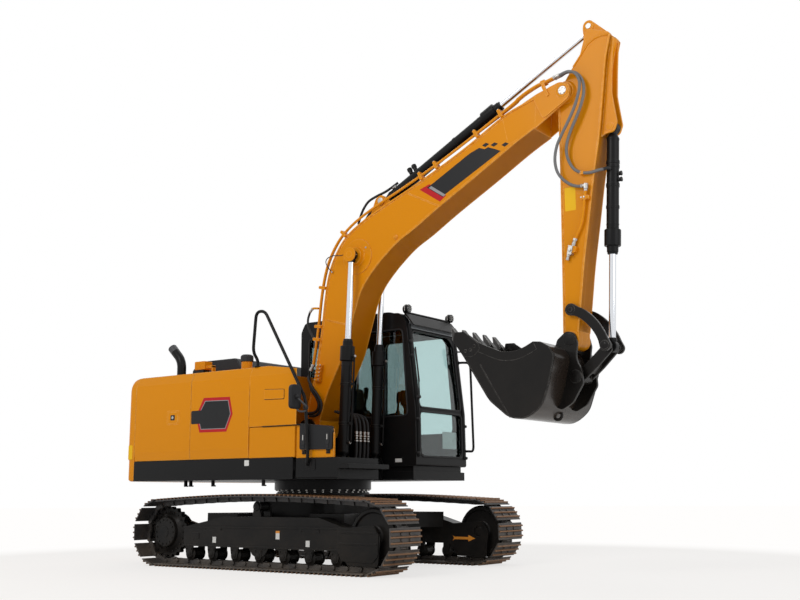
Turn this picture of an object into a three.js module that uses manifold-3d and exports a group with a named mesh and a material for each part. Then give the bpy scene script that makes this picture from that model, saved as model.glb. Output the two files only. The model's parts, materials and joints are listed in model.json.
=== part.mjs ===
// Crawler excavator of the 13-tonne class, as an assembly of separate sub-parts.
// Millimetres, +Z up, +X forward, +Y to the operator's left. z = 0 is the ground, and the tracks'
// middle is x = 0, y = 0 while the parts are made; the finished machine is then shifted along X
// so that the middle of its box is at the origin.
import * as THREE from "three";
import { mergeVertices } from "three/addons/utils/BufferGeometryUtils.js";
import Module from "manifold-3d";

const wasm = await Module();
wasm.setup();

// ---------------------------------------------------------------- driving dimensions

const GAP = 0.3; // between pieces that touch
const RUN = 6; // between a moving piece and its neighbour

// undercarriage
const TRACK_PITCH_LENGTH = 2917; // sprocket centre to idler centre
const TRACK_RADIUS = 368; // to the tips of the shoes round the end wheels
const TRACK_GAUGE = 1990; // middle of one track to the middle of the other
const SHOE_WIDTH = 500;
const SHOE_COUNT = 44;
const SHOE_PLATE = 14;
const GROUSER = 20;
const TRACK_CROWN = 50; // how far the carrier roller lifts the upper run
const LINK_HEIGHT = 62;
const LINK_WIDTH = 130;
const END_WHEEL_RADIUS = 268;
const END_WHEEL_WIDTH = 62;
const SIDE_FRAME_WIDTH = 200;
const SIDE_FRAME_LOW = 231;
const SIDE_FRAME_TOP = 451;
const ROLLER_RADIUS = 62;
const ROLLER_COUNT = 7;
const BODY_LENGTH = 1180; // centre section between the side frames
const BODY_WIDTH = 1000;
const BODY_LOW = 430;
const BODY_TOP = 775;

// slewing ring
const SWING_X = -65;
const RING_RADIUS = 550;
const BOLT_RING_RADIUS = 505;
const RING_LOW = 780;
const RING_SPLIT = 832;

// upper structure
const DECK_LOW = 931;
const DECK_TOP = 1153;
const UPPER_HALF_WIDTH = 1235;
const REAR_SEAM_X = -1875; // counterweight to rear doors
const MIDDLE_SEAM_X = -955;
const FRONT_SEAM_X = -62;
const TAIL_X = -2255;
const TAIL_ARC = 3000;
const TAIL_CORNER = 90;
const HOUSING_TOP = 2125;
const DOOR_CREASE = 2015;
const LOWER_CREASE = 1259;
const SHEET = 28; // doors and housing walls, with their inner frames
const BULKHEAD_X = -260;

// boom, arm and bucket, at rest
const BOOM_Y = -180;
const BOOM_HALF = 190;
const BOOM_FOOT = [40, 1485];
const BOOM_LENGTH = 4600;
const BOOM_LINE_DEG = 44.85;
const ARM_LENGTH = 2500;
const ARM_LINE_DEG = -90.64;
const ARM_HALF = 130;
const PIN = 38;
const BOSS = 100;

// hydraulic cylinders
const ROD = 34;
const BARREL = 60;
const HEAD = 80; // screwed collar at the rod end
const GLAND = 51;
const CYLINDER_EYE = 62;
const BOOM_CYLINDER_SIDE = 285; // each side of the boom's middle

// cab
const CAB_RIGHT = 200;
const CAB_LEFT = 1222;
const CAB_FLOOR = 1085;
const CAB_ROOF = 2828;
const CAB_FRONT = 1098;
const CAB_REAR = -600;
const CAB_WALL = 55;
const GLASS = 6;

// ---------------------------------------------------------------- shape helpers

const RAD = Math.PI / 180;
const polar = (length, deg) => [length * Math.cos(deg * RAD), length * Math.sin(deg * RAD)];
const plus = (a, b) => [a[0] + b[0], a[1] + b[1]];

// A closed geometry as a solid that can be joined and cut.
function solid(geometry) {
  const bare = geometry.index ? geometry.toNonIndexed() : geometry.clone();
  bare.deleteAttribute("normal");
  bare.deleteAttribute("uv");
  const merged = mergeVertices(bare, 1e-4);
  return new wasm.Manifold(
    new wasm.Mesh({
      numProp: 3,
      vertProperties: new Float32Array(merged.attributes.position.array),
      triVerts: new Uint32Array(merged.index.array),
    }),
  );
}

const join = (...parts) => parts.flat().reduce((a, b) => a.add(b));
const cut = (from, ...tools) => tools.flat().reduce((a, b) => a.subtract(b), from);

// A polygon whose corners may be rounded: each point is [a, b] or [a, b, radius].
function outline(points, steps = 2) {
  const shape = new THREE.Shape();
  const count = points.length;
  points.forEach(([a, b, radius = 0], i) => {
    const [pa, pb] = points[(i + count - 1) % count];
    const [na, nb] = points[(i + 1) % count];
    const before = Math.hypot(pa - a, pb - b);
    const after = Math.hypot(na - a, nb - b);
    const cosine = ((pa - a) * (na - a) + (pb - b) * (nb - b)) / (before * after);
    const half = Math.acos(Math.max(-1, Math.min(1, cosine))) / 2;
    const reach = Math.min(radius / Math.tan(half), before * 0.49, after * 0.49);
    const start = [a + ((pa - a) / before) * reach, b + ((pb - b) / before) * reach];
    const end = [a + ((na - a) / after) * reach, b + ((nb - b) / after) * reach];
    if (i === 0) shape.moveTo(...start);
    else shape.lineTo(...start);
    if (reach > 0.5) {
      for (let k = 1; k <= steps; k += 1) {
        const t = k / steps;
        const u = 1 - t;
        shape.lineTo(
          u * u * start[0] + 2 * u * t * a + t * t * end[0],
          u * u * start[1] + 2 * u * t * b + t * t * end[1],
        );
      }
    }
  });
  shape.closePath();
  return shape;
}

function extrude(points, depth, steps) {
  const shape = Array.isArray(points) ? outline(points, steps) : points;
  return new THREE.ExtrudeGeometry(shape, { depth, bevelEnabled: false, steps: 1 });
}

// Side view outline in X and Z, from y = low to y = high.
function sidePlate(points, low, high, steps) {
  const geometry = extrude(points, high - low, steps);
  geometry.rotateX(Math.PI / 2);
  geometry.translate(0, high, 0);
  return solid(geometry);
}

// Plan outline in X and Y, from z = low to z = high.
function planPlate(points, low, high, steps) {
  const geometry = extrude(points, high - low, steps);
  geometry.translate(0, 0, low);
  return solid(geometry);
}

// Front view outline in Y and Z, from x = low to x = high.
function crossPlate(points, low, high, steps) {
  const geometry = extrude(points, high - low, steps);
  geometry.applyMatrix4(
    new THREE.Matrix4().makeBasis(
      new THREE.Vector3(0, 1, 0),
      new THREE.Vector3(0, 0, 1),
      new THREE.Vector3(1, 0, 0),
    ),
  );
  geometry.translate(low, 0, 0);
  return solid(geometry);
}

function box(x0, x1, y0, y1, z0, z1) {
  const geometry = new THREE.BoxGeometry(x1 - x0, y1 - y0, z1 - z0);
  geometry.translate((x0 + x1) / 2, (y0 + y1) / 2, (z0 + z1) / 2);
  return solid(geometry);
}

// A round bar between two points, or a cone when the second radius differs.
function bar(from, to, radius, sides = 16, endRadius = radius) {
  const a = new THREE.Vector3(...from);
  const b = new THREE.Vector3(...to);
  const geometry = new THREE.CylinderGeometry(endRadius, radius, a.distanceTo(b), sides, 1);
  const turn = new THREE.Quaternion().setFromUnitVectors(
    new THREE.Vector3(0, 1, 0),
    b.clone().sub(a).normalize(),
  );
  geometry.applyQuaternion(turn);
  geometry.translate((a.x + b.x) / 2, (a.y + b.y) / 2, (a.z + b.z) / 2);
  return solid(geometry);
}

const across = ([x, z], y0, y1, radius, sides = 20) => bar([x, y0, z], [x, y1, z], radius, sides);

// The hole round a pin: wide enough that the pin's corners never touch its flats.
function bore(at, y0, y1, radius, sides = 20) {
  const clear = (radius + GAP) / Math.cos(Math.PI / sides);
  return across(at, y0 - 1, y1 + 1, clear, sides);
}

// A round tube's centre line with rounded bends, swept as a solid bar.
function bentBar(points, radius, bend, sides = 6) {
  const path = new THREE.CurvePath();
  const corners = points.map((p) => new THREE.Vector3(...p));
  let last = corners[0];
  for (let i = 1; i < corners.length - 1; i += 1) {
    const here = corners[i];
    const back = last.clone().sub(here);
    const ahead = corners[i + 1].clone().sub(here);
    const reach = Math.min(bend, back.length() * 0.9, ahead.length() * 0.45);
    const start = here.clone().add(back.setLength(reach));
    const end = here.clone().add(ahead.setLength(reach));
    path.add(new THREE.LineCurve3(last, start));
    path.add(new THREE.QuadraticBezierCurve3(start, here, end));
    last = end;
  }
  path.add(new THREE.LineCurve3(last, corners.at(-1)));
  const section = new THREE.Shape();
  for (let i = 0; i < sides; i += 1) {
    const angle = (i / sides) * 2 * Math.PI;
    const point = [radius * Math.cos(angle), radius * Math.sin(angle)];
    if (i === 0) section.moveTo(...point);
    else section.lineTo(...point);
  }
  section.closePath();
  const steps = 5 * (points.length - 1);
  const sweep = new THREE.ExtrudeGeometry(section, { steps, extrudePath: path, bevelEnabled: false });
  return solid(sweep);
}

// ---------------------------------------------------------------- finishes and the assembly

const finish = (color, roughness, metalness) =>
  new THREE.MeshStandardMaterial({ color, roughness, metalness });
const FINISH = {
  yellow: finish(0xd98a1c, 0.4, 0.1),
  black: finish(0x1b1c1e, 0.5, 0.2),
  charcoal: finish(0x33363a, 0.6, 0.1),
  steel: finish(0x6a6560, 0.5, 0.8),
  chrome: finish(0xd8dadc, 0.15, 1),
  glass: finish(0xbfe0d8, 0.05, 0),
  seat: finish(0x232426, 0.9, 0),
};

const machine = new THREE.Group();

function add(name, body, material) {
  const made = body.getMesh();
  const geometry = new THREE.BufferGeometry();
  const position = new Float32Array(made.numVert * 3);
  for (let i = 0; i < made.numVert; i += 1) {
    position.set(made.vertProperties.subarray(i * made.numProp, i * made.numProp + 3), i * 3);
  }
  geometry.setAttribute("position", new THREE.BufferAttribute(position, 3));
  geometry.setIndex(new THREE.BufferAttribute(new Uint32Array(made.triVerts), 1));
  geometry.computeVertexNormals();
  const mesh = new THREE.Mesh(geometry, material);
  mesh.name = name;
  machine.add(mesh);
  return mesh;
}

// ---------------------------------------------------------------- undercarriage

const END_WHEEL_X = TRACK_PITCH_LENGTH / 2;
const TRACK_LOOP = TRACK_RADIUS - GROUSER; // the outer face of the shoe plates
const AXLE_Z = TRACK_RADIUS;

// Radius at which the link rails run on the wheels.
const RAIL_RADIUS = TRACK_LOOP - LINK_HEIGHT;

// A point of the track's loop at a share of its length, counter-clockwise from the bottom rear,
// and at a distance inside the shoe faces. The upper run rises to the carrier roller.
function loopPoint(share, inset) {
  const radius = TRACK_LOOP - inset;
  const straight = TRACK_PITCH_LENGTH;
  const bend = Math.PI * RAIL_RADIUS;
  const total = 2 * straight + 2 * bend;
  let along = (((share % 1) + 1) % 1) * total;
  if (along < straight) return [-END_WHEEL_X + along, AXLE_Z - radius];
  along -= straight;
  if (along < bend) {
    return plus([END_WHEEL_X, AXLE_Z], polar(radius, -90 + (along / bend) * 180));
  }
  along -= bend;
  if (along < straight) {
    const lift = TRACK_CROWN * Math.sin((along / straight) * Math.PI);
    return [END_WHEEL_X - along, AXLE_Z + radius + lift];
  }
  along -= straight;
  return plus([-END_WHEEL_X, AXLE_Z], polar(radius, 90 + (along / bend) * 180));
}

// The same loop as a smooth closed outline.
function loopOutline(inset) {
  const radius = TRACK_LOOP - inset;
  const points = [];
  const arcSteps = 12;
  const topSteps = 8;
  for (let i = 0; i <= arcSteps; i += 1) {
    points.push(plus([END_WHEEL_X, AXLE_Z], polar(radius, -90 + (i / arcSteps) * 180)));
  }
  for (let i = 1; i < topSteps; i += 1) {
    const lift = TRACK_CROWN * Math.sin((i / topSteps) * Math.PI);
    points.push([END_WHEEL_X - (i / topSteps) * TRACK_PITCH_LENGTH, AXLE_Z + radius + lift]);
  }
  for (let i = 0; i <= arcSteps; i += 1) {
    points.push(plus([-END_WHEEL_X, AXLE_Z], polar(radius, 90 + (i / arcSteps) * 180)));
  }
  return points;
}

function track(side) {
  const middle = (side * TRACK_GAUGE) / 2;
  const outer = [];
  for (let i = 0; i < SHOE_COUNT; i += 1) {
    // each shoe: a flat plate with one raised bar across it
    outer.push(loopPoint((i + 0.05) / SHOE_COUNT, 0));
    outer.push(loopPoint((i + 0.35) / SHOE_COUNT, -GROUSER));
    outer.push(loopPoint((i + 0.6) / SHOE_COUNT, -GROUSER));
    outer.push(loopPoint((i + 0.9) / SHOE_COUNT, 0));
  }
  const half = SHOE_WIDTH / 2;
  const plates = cut(
    sidePlate(outer, middle - half, middle + half),
    sidePlate(loopOutline(SHOE_PLATE), middle - SHOE_WIDTH, middle + SHOE_WIDTH),
  );
  const links = cut(
    sidePlate(loopOutline(SHOE_PLATE - 5), middle - LINK_WIDTH / 2, middle + LINK_WIDTH / 2),
    sidePlate(loopOutline(LINK_HEIGHT), middle - LINK_WIDTH, middle + LINK_WIDTH),
  );
  return plates.add(links);
}

const MOTOR_RADIUS = 165; // the track drive's housing, carried in a ring of the side frame
const MOTOR_SIDES = 40;
const IDLER_AXLE = 55;
const WHEEL_PLAY = 3.5; // the facets of the rails' inner face stay clear of the wheels

function sprocket(side) {
  const middle = (side * TRACK_GAUGE) / 2;
  const at = [-END_WHEEL_X, AXLE_Z];
  const teeth = [];
  const toothCount = 21;
  for (let i = 0; i < toothCount; i += 1) {
    const step = 360 / toothCount;
    teeth.push(plus(at, polar(RAIL_RADIUS - WHEEL_PLAY, i * step)));
    teeth.push(plus(at, polar(RAIL_RADIUS - 30, (i + 0.5) * step)));
  }
  const rim = sidePlate(teeth, middle - END_WHEEL_WIDTH / 2, middle + END_WHEEL_WIDTH / 2);
  const outward = middle + side * 105;
  const inward = middle - side * 150;
  const hub = across(at, Math.min(outward, middle), Math.max(outward, middle), 150);
  const motor = across(at, Math.min(inward, middle), Math.max(inward, middle), MOTOR_RADIUS, MOTOR_SIDES);
  return join(rim, hub, motor);
}

function idler(side) {
  const middle = (side * TRACK_GAUGE) / 2;
  const at = [END_WHEEL_X, AXLE_Z];
  const half = LINK_WIDTH / 2;
  return join(
    across(at, middle - half, middle + half, RAIL_RADIUS - WHEEL_PLAY, 32),
    across(at, middle - 128, middle + 128, IDLER_AXLE, 24),
  );
}

// One side frame with its rollers, its guards and the fork that holds the idler.
function sideFrame(side) {
  const middle = (side * TRACK_GAUGE) / 2;
  const half = SIDE_FRAME_WIDTH / 2;
  const rear = -END_WHEEL_X + RAIL_RADIUS + 25;
  const front = END_WHEEL_X - 330;
  const beam = sidePlate(
    [
      [rear, SIDE_FRAME_LOW],
      [front, SIDE_FRAME_LOW],
      [front, SIDE_FRAME_TOP],
      [front - 330, SIDE_FRAME_TOP + 95, 60],
      [rear + 620, SIDE_FRAME_TOP + 95, 60],
      [rear, SIDE_FRAME_TOP - 20],
    ],
    middle - half,
    middle + half,
  );
  const parts = [beam];
  // the final drive's mounting ring
  const drive = middle - side * 100;
  const ring = across(
    [-END_WHEEL_X, AXLE_Z],
    Math.min(drive, drive - side * 46),
    Math.max(drive, drive - side * 46),
    205,
  );
  const arm = side > 0 ? [drive - 46, drive] : [drive, drive + 46];
  parts.push(cut(ring, bore([-END_WHEEL_X, AXLE_Z], arm[0], arm[1], MOTOR_RADIUS, MOTOR_SIDES)));
  parts.push(
    cut(
      sidePlate(
        [
          [-END_WHEEL_X + 60, AXLE_Z - 130],
          [rear + 60, SIDE_FRAME_LOW],
          [rear + 60, SIDE_FRAME_TOP - 10],
          [-END_WHEEL_X + 60, AXLE_Z + 150],
        ],
        arm[0],
        arm[1],
      ),
      bore([-END_WHEEL_X, AXLE_Z], arm[0], arm[1], 190),
    ),
  );
  // idler fork: a guard plate each side of the idler, bored for its axle
  const forkPlates = [
    [middle - 118, middle - 96],
    [middle + 96, middle + 118],
  ];
  for (const [low, high] of forkPlates) {
    parts.push(
      cut(
        sidePlate(
          [
            [front - 60, SIDE_FRAME_LOW + 4],
            [front + 60, 95],
            [END_WHEEL_X + 100, 85, 40],
            [END_WHEEL_X + 130, AXLE_Z, 60],
            [END_WHEEL_X + 60, SIDE_FRAME_TOP + 30, 60],
            [front - 60, SIDE_FRAME_TOP - 4],
          ],
          low,
          high,
        ),
        bore([END_WHEEL_X, AXLE_Z], low, high, IDLER_AXLE, 24),
      ),
    );
  }
  parts.push(box(front - 62, front + 30, middle - 110, middle + 110, SIDE_FRAME_LOW, SIDE_FRAME_TOP));
  // track rollers on brackets under the beam
  const railZ = AXLE_Z - RAIL_RADIUS + GAP;
  const spacing = (front - rear - 200) / (ROLLER_COUNT - 1);
  for (let i = 0; i < ROLLER_COUNT; i += 1) {
    const x = rear + 90 + i * spacing;
    const centre = [x, railZ + ROLLER_RADIUS];
    parts.push(across(centre, middle - 76, middle + 76, ROLLER_RADIUS, 10));
    parts.push(box(x - 42, x + 42, middle - half + 2, middle - 72, railZ + 30, SIDE_FRAME_LOW + 20));
    parts.push(box(x - 42, x + 42, middle + 72, middle + half - 2, railZ + 30, SIDE_FRAME_LOW + 20));
  }
  // centre guide guard
  parts.push(
    sidePlate(
      [
        [-170, SIDE_FRAME_LOW + 10],
        [-110, 160],
        [-20, 112],
        [70, 160],
        [130, SIDE_FRAME_LOW + 10],
      ],
      side > 0 ? middle + half - 14 : middle - half,
      side > 0 ? middle + half : middle - half + 14,
    ),
  );
  // carrier roller on its post
  const carrierX = -70;
  const carrierZ = AXLE_Z + RAIL_RADIUS + TRACK_CROWN - 4 - 48;
  parts.push(across([carrierX, carrierZ], middle - 80, middle + 80, 46, 12));
  parts.push(box(carrierX - 45, carrierX + 45, middle - side * 92 - 14, middle - side * 92 + 14, 500, carrierZ + 30));
  return join(parts);
}

// Centre section with its four splayed legs and the flange the slewing ring is bolted to.
function centreFrame() {
  const parts = [
    planPlate(
      [
        [SWING_X - BODY_LENGTH / 2, -BODY_WIDTH / 2, 160],
        [SWING_X + BODY_LENGTH / 2, -BODY_WIDTH / 2, 160],
        [SWING_X + BODY_LENGTH / 2, BODY_WIDTH / 2, 160],
        [SWING_X - BODY_LENGTH / 2, BODY_WIDTH / 2, 160],
      ],
      BODY_LOW,
      BODY_TOP - 70,
    ),
    bar([SWING_X, 0, BODY_TOP - 110], [SWING_X, 0, RING_LOW], BOLT_RING_RADIUS - 30, 32),
  ];
  const reach = TRACK_GAUGE / 2 - SIDE_FRAME_WIDTH / 2 + 10;
  for (const side of [-1, 1]) {
    for (const end of [-1, 1]) {
      parts.push(
        planPlate(
          side * end > 0
            ? [
                [end * 330, side * 200],
                [end * 620, side * 200],
                [end * 980, side * reach],
                [end * 520, side * reach],
              ]
            : [
                [end * 520, side * reach],
                [end * 980, side * reach],
                [end * 620, side * 200],
                [end * 330, side * 200],
              ],
          BODY_LOW - 20,
          BODY_LOW + 150,
        ),
      );
    }
  }
  return join(parts);
}

// The slewing ring's lower race is bolted to the centre section.
function boltRing() {
  const low = [SWING_X, 0, RING_LOW - 5];
  const high = [SWING_X, 0, RING_SPLIT - 2];
  return bar(low, high, BOLT_RING_RADIUS, 32);
}
add("track_frame", join(centreFrame(), boltRing(), sideFrame(1), sideFrame(-1)), FINISH.black);
for (const [side, name] of [
  [1, "left"],
  [-1, "right"],
]) {
  add(`track_${name}`, track(side), FINISH.steel);
  add(`sprocket_${name}`, sprocket(side), FINISH.black);
  add(`idler_${name}`, idler(side), FINISH.black);
}

// ---------------------------------------------------------------- upper structure

const BOOM_BRACKET = BOOM_HALF + RUN;
const CYLINDER_BASE = [596, 1120];
const DECK_FRONT = 640;
const DECK_HALF_WIDTH = UPPER_HALF_WIDTH - 40;
const TANK_LEFT = -520; // inner face of the tank and the tool box
const STEP_FRONT = 1118;

function revolvingFrame() {
  const inner = DECK_HALF_WIDTH;
  const parts = [
    // deck between the skirts
    planPlate(
      [
        [REAR_SEAM_X + GAP, -inner],
        [DECK_FRONT + 480, -inner],
        [DECK_FRONT + 480, TANK_LEFT],
        [DECK_FRONT, TANK_LEFT],
        [DECK_FRONT, CAB_RIGHT - 12],
        [CAB_FRONT - 30, CAB_RIGHT - 12],
        [CAB_FRONT - 30, inner],
        [REAR_SEAM_X + GAP, inner],
      ],
      DECK_LOW,
      CAB_FLOOR - 60,
    ),
    // side skirts
    box(REAR_SEAM_X + GAP, 560, -UPPER_HALF_WIDTH + 6, -inner + 10, DECK_LOW, DECK_TOP),
    box(REAR_SEAM_X + GAP, CAB_REAR - RUN, inner - 10, UPPER_HALF_WIDTH - 6, DECK_LOW, DECK_TOP),
    box(CAB_REAR, CAB_FRONT - 30, inner - 10, UPPER_HALF_WIDTH - 12, DECK_LOW, CAB_FLOOR - 62),
    // upper race of the slewing ring
    bar([SWING_X, 0, RING_SPLIT - 2 + GAP], [SWING_X, 0, DECK_LOW + 5], RING_RADIUS, 32),
    // cross member under the boom foot
    box(BULKHEAD_X + 10, CYLINDER_BASE[0] - 100, BOOM_Y - 300, BOOM_Y + 300, DECK_LOW, 1100),
  ];
  const bracket = [
    [-235, 1090],
    [330, 1090],
    [250, 1300, 60],
    [BOOM_FOOT[0] + 125, BOOM_FOOT[1] + 20, 70],
    [BOOM_FOOT[0] + 40, BOOM_FOOT[1] + 130, 60],
    [BOOM_FOOT[0] - 90, BOOM_FOOT[1] + 110, 60],
    [-215, 1290, 80],
  ];
  for (const side of [-1, 1]) {
    const near = BOOM_Y + side * BOOM_BRACKET;
    const far = near + side * 26;
    parts.push(sidePlate(bracket, Math.min(near, far), Math.max(near, far)));
    // lugs that hold a boom cylinder's foot
    for (const [a, b] of [
      [BOOM_CYLINDER_SIDE - 66, BOOM_CYLINDER_SIDE - 46],
      [BOOM_CYLINDER_SIDE + 46, BOOM_CYLINDER_SIDE + 66],
    ]) {
      const low = BOOM_Y + side * a;
      const high = BOOM_Y + side * b;
      parts.push(
        sidePlate(
          [
            [CYLINDER_BASE[0] - 210, DECK_LOW + 20],
            [CYLINDER_BASE[0] + 60, DECK_LOW + 20],
            [CYLINDER_BASE[0] + 78, CYLINDER_BASE[1] - 10, 40],
            [CYLINDER_BASE[0] + 40, CYLINDER_BASE[1] + 72, 50],
            [CYLINDER_BASE[0] - 60, CYLINDER_BASE[1] + 62, 50],
          ],
          Math.min(low, high),
          Math.max(low, high),
        ),
      );
    }
  }
  parts.push(across(BOOM_FOOT, BOOM_Y - BOOM_BRACKET - 40, BOOM_Y + BOOM_BRACKET + 40, PIN + 6));
  parts.push(
    across(CYLINDER_BASE, BOOM_Y - BOOM_CYLINDER_SIDE - 78, BOOM_Y - BOOM_CYLINDER_SIDE + 70, PIN),
    across(CYLINDER_BASE, BOOM_Y + BOOM_CYLINDER_SIDE - 70, BOOM_Y + BOOM_CYLINDER_SIDE + 78, PIN),
  );
  return join(parts);
}
add("revolving_frame", revolvingFrame(), FINISH.black);

// Plan outline of the tail: a wide arc with rounded corners.
function tailOutline(front, shrink) {
  const points = [];
  const half = UPPER_HALF_WIDTH - shrink;
  const centreX = TAIL_X + shrink + TAIL_ARC;
  const open = Math.asin(half / TAIL_ARC);
  const steps = 10;
  points.push([front, half], [front, -half]);
  for (let i = 0; i <= steps; i += 1) {
    const angle = Math.PI + open - (2 * open * i) / steps;
    const corner = i === 0 || i === steps ? TAIL_CORNER : 0;
    const x = centreX + TAIL_ARC * Math.cos(angle);
    points.push([x, TAIL_ARC * Math.sin(angle), corner]);
  }
  return points.reverse();
}

function counterweight() {
  const front = REAR_SEAM_X - GAP;
  const layers = [
    [DECK_LOW, DECK_LOW + 30, 30],
    [DECK_LOW + 30, 1178, 8],
    [1178, 1990, 0],
    [1990, 2070, 18],
    [2070, HOUSING_TOP, 60],
  ];
  const body = join(layers.map(([low, high, shrink]) => planPlate(tailOutline(front, shrink), low, high)));
  // lifting pockets in the top
  const pocket = (y) => box(front - 190, front - 110, y - 40, y + 40, HOUSING_TOP - 60, HOUSING_TOP + 10);
  return cut(body, pocket(-620), pocket(620));
}
add("counterweight", counterweight(), FINISH.yellow);

const DOOR_CLEAR = 5;
// Cross-section of a side door: a sheet with a slanted foot and a sloped shoulder.
function doorSection(side) {
  const w = UPPER_HALF_WIDTH;
  const low = DECK_TOP + DOOR_CLEAR;
  const face = [
    [w - 12, low],
    [w, LOWER_CREASE],
    [w, DOOR_CREASE],
    [w - 45, HOUSING_TOP - 4],
  ];
  const back = face.map(([y, z]) => [y - SHEET, z]).reverse();
  back[0] = [w - 45 - SHEET, HOUSING_TOP - 4 - SHEET];
  const points = [...face, ...back];
  return side > 0 ? points : points.map(([y, z]) => [-y, z]).reverse();
}
const sideDoor = (side, rear, front) => crossPlate(doorSection(side), rear + 3, front - 3);
add("right_rear_door", sideDoor(-1, REAR_SEAM_X, MIDDLE_SEAM_X), FINISH.yellow);
add("right_middle_door", sideDoor(-1, MIDDLE_SEAM_X, FRONT_SEAM_X), FINISH.yellow);
const LEFT_SEAM_X = -1240;
add("left_rear_door", sideDoor(1, REAR_SEAM_X, LEFT_SEAM_X), FINISH.yellow);
add("left_front_door", sideDoor(1, LEFT_SEAM_X, CAB_REAR - 20), FINISH.yellow);

// Hood opening in the housing's top
const HOOD = { rear: -1690, front: -840, right: -560, left: 1000 };

function housing() {
  const w = UPPER_HALF_WIDTH - 45 - SHEET - 8;
  const top = HOUSING_TOP - SHEET;
  const rear = REAR_SEAM_X + GAP;
  const front = FRONT_SEAM_X - 6;
  const roof = planPlate(
    [
      [rear, -w],
      [front, -w],
      [front, TANK_LEFT - 20],
      [BULKHEAD_X, TANK_LEFT - 20],
      [BULKHEAD_X, CAB_RIGHT - 30],
      [CAB_REAR - 26, CAB_RIGHT - 30],
      [CAB_REAR - 26, w],
      [rear, w],
    ],
    top,
    HOUSING_TOP,
  );
  const opening = box(HOOD.rear, HOOD.front, HOOD.right, HOOD.left, top - 5, HOUSING_TOP + 5);
  const low = CAB_FLOOR - 60 + GAP;
  const bulkhead = box(BULKHEAD_X - SHEET, BULKHEAD_X, TANK_LEFT - 20, CAB_RIGHT - 30, low, top + 1);
  const cabWall = box(CAB_REAR - 26 - SHEET, CAB_REAR - 26, CAB_RIGHT - 30 - SHEET, w - 60, low, top + 1);
  const link = box(
    CAB_REAR - 26 - SHEET,
    BULKHEAD_X,
    CAB_RIGHT - 30 - SHEET,
    CAB_RIGHT - 30,
    low,
    top + 1,
  );
  const tankWall = box(
    BULKHEAD_X - SHEET,
    front,
    TANK_LEFT - 20 - SHEET,
    TANK_LEFT - 20,
    low,
    top + 1,
  );
  // blocks on the roof's edge that carry the side doors at their hinge edges
  const seat = (x, side) => {
    const inner = side * w - side;
    const outer = side * (UPPER_HALF_WIDTH - 45 - SHEET - GAP);
    return box(x, x + 40, Math.min(inner, outer), Math.max(inner, outer), top - 14, top + 10);
  };
  const seats = [
    seat(REAR_SEAM_X + 14, -1),
    seat(FRONT_SEAM_X - 54, -1),
    seat(REAR_SEAM_X + 14, 1),
    seat(CAB_REAR - 74, 1),
  ];
  // ledge that the hood's front edge rests on
  const ledge = join(
    box(HOOD.front - 34, HOOD.front + 20, HOOD.right, HOOD.left, top - 26, top - GAP),
    box(HOOD.front, HOOD.front + 20, HOOD.right, HOOD.left, top - 10, top + 5),
  );
  const post = (x, y) => box(x - 20, x + 20, y - 22, y + 22, low, top + 1);
  const posts = [post(MIDDLE_SEAM_X, -w + 22), post(LEFT_SEAM_X, w - 22)];
  const rails = [
    box(rear, front, -w, -w + 24, top - 30, top + 1),
    box(rear, CAB_REAR - 26, w - 24, w, top - 30, top + 1),
  ];
  return join(cut(roof, opening), bulkhead, cabWall, link, tankWall, posts, rails, seats, ledge);
}
add("engine_housing", housing(), FINISH.yellow);

function engineHood() {
  const gap = 8;
  const { rear, front, right, left } = HOOD;
  const profile = [
    [rear + gap, HOUSING_TOP - SHEET],
    [front - gap, HOUSING_TOP - SHEET],
    [front - gap, HOUSING_TOP + 90, 40],
    [front - 110, 2357, 60],
    [rear + 130, 2357, 60],
    [rear + gap, HOUSING_TOP + 130, 40],
  ];
  const shell = sidePlate(profile, right + gap, left - gap);
  const hollow = sidePlate(
    [
      [rear + gap + SHEET, HOUSING_TOP - SHEET - 10],
      [front - gap - SHEET, HOUSING_TOP - SHEET - 10],
      [front - gap - SHEET, HOUSING_TOP + 75, 30],
      [front - 120, 2357 - SHEET, 50],
      [rear + 140, 2357 - SHEET, 50],
      [rear + gap + SHEET, HOUSING_TOP + 115, 30],
    ],
    right + gap + SHEET,
    left - gap - SHEET,
  );
  return cut(shell, hollow);
}
add("engine_hood", engineHood(), FINISH.charcoal);

// Engine, pump and radiator as one plain mass on the deck.
add(
  "engine",
  join(
    box(-1620, -980, -420, 560, CAB_FLOOR - 60 + GAP, 1880),
    box(-1560, -1040, -900, -410, 1180, 1560),
    box(-1640, -960, 640, 900, CAB_FLOOR - 60 + GAP, 1900),
    box(-1500, -1100, 550, 650, 1150, 1500),
  ),
  FINISH.charcoal,
);

// Tank behind the step, with the sloped top front corner.
const TANK_FRONT = 617;
const TANK_SPLIT = 1475;
add(
  "fuel_tank",
  crossPlate(
    [
      [-UPPER_HALF_WIDTH, TANK_SPLIT + 6],
      [-UPPER_HALF_WIDTH + 40, TANK_SPLIT + 6],
      [-UPPER_HALF_WIDTH + 40, TANK_SPLIT + GAP],
      [TANK_LEFT - 30, TANK_SPLIT + GAP],
      [TANK_LEFT - 30, HOUSING_TOP - 2, 30],
      [-UPPER_HALF_WIDTH + 45, HOUSING_TOP - 2, 20],
      [-UPPER_HALF_WIDTH, DOOR_CREASE, 20],
    ],
    FRONT_SEAM_X + 3,
    TANK_FRONT,
  ).intersect(
    sidePlate(
      [
        [FRONT_SEAM_X - 10, TANK_SPLIT - 10],
        [TANK_FRONT + 1, TANK_SPLIT - 10],
        [TANK_FRONT + 1, 2062, 30],
        [125, HOUSING_TOP + 1, 60],
        [FRONT_SEAM_X - 10, HOUSING_TOP + 1],
      ],
      -UPPER_HALF_WIDTH - 10,
      TANK_LEFT,
    ),
  ),
  FINISH.yellow,
);
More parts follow.
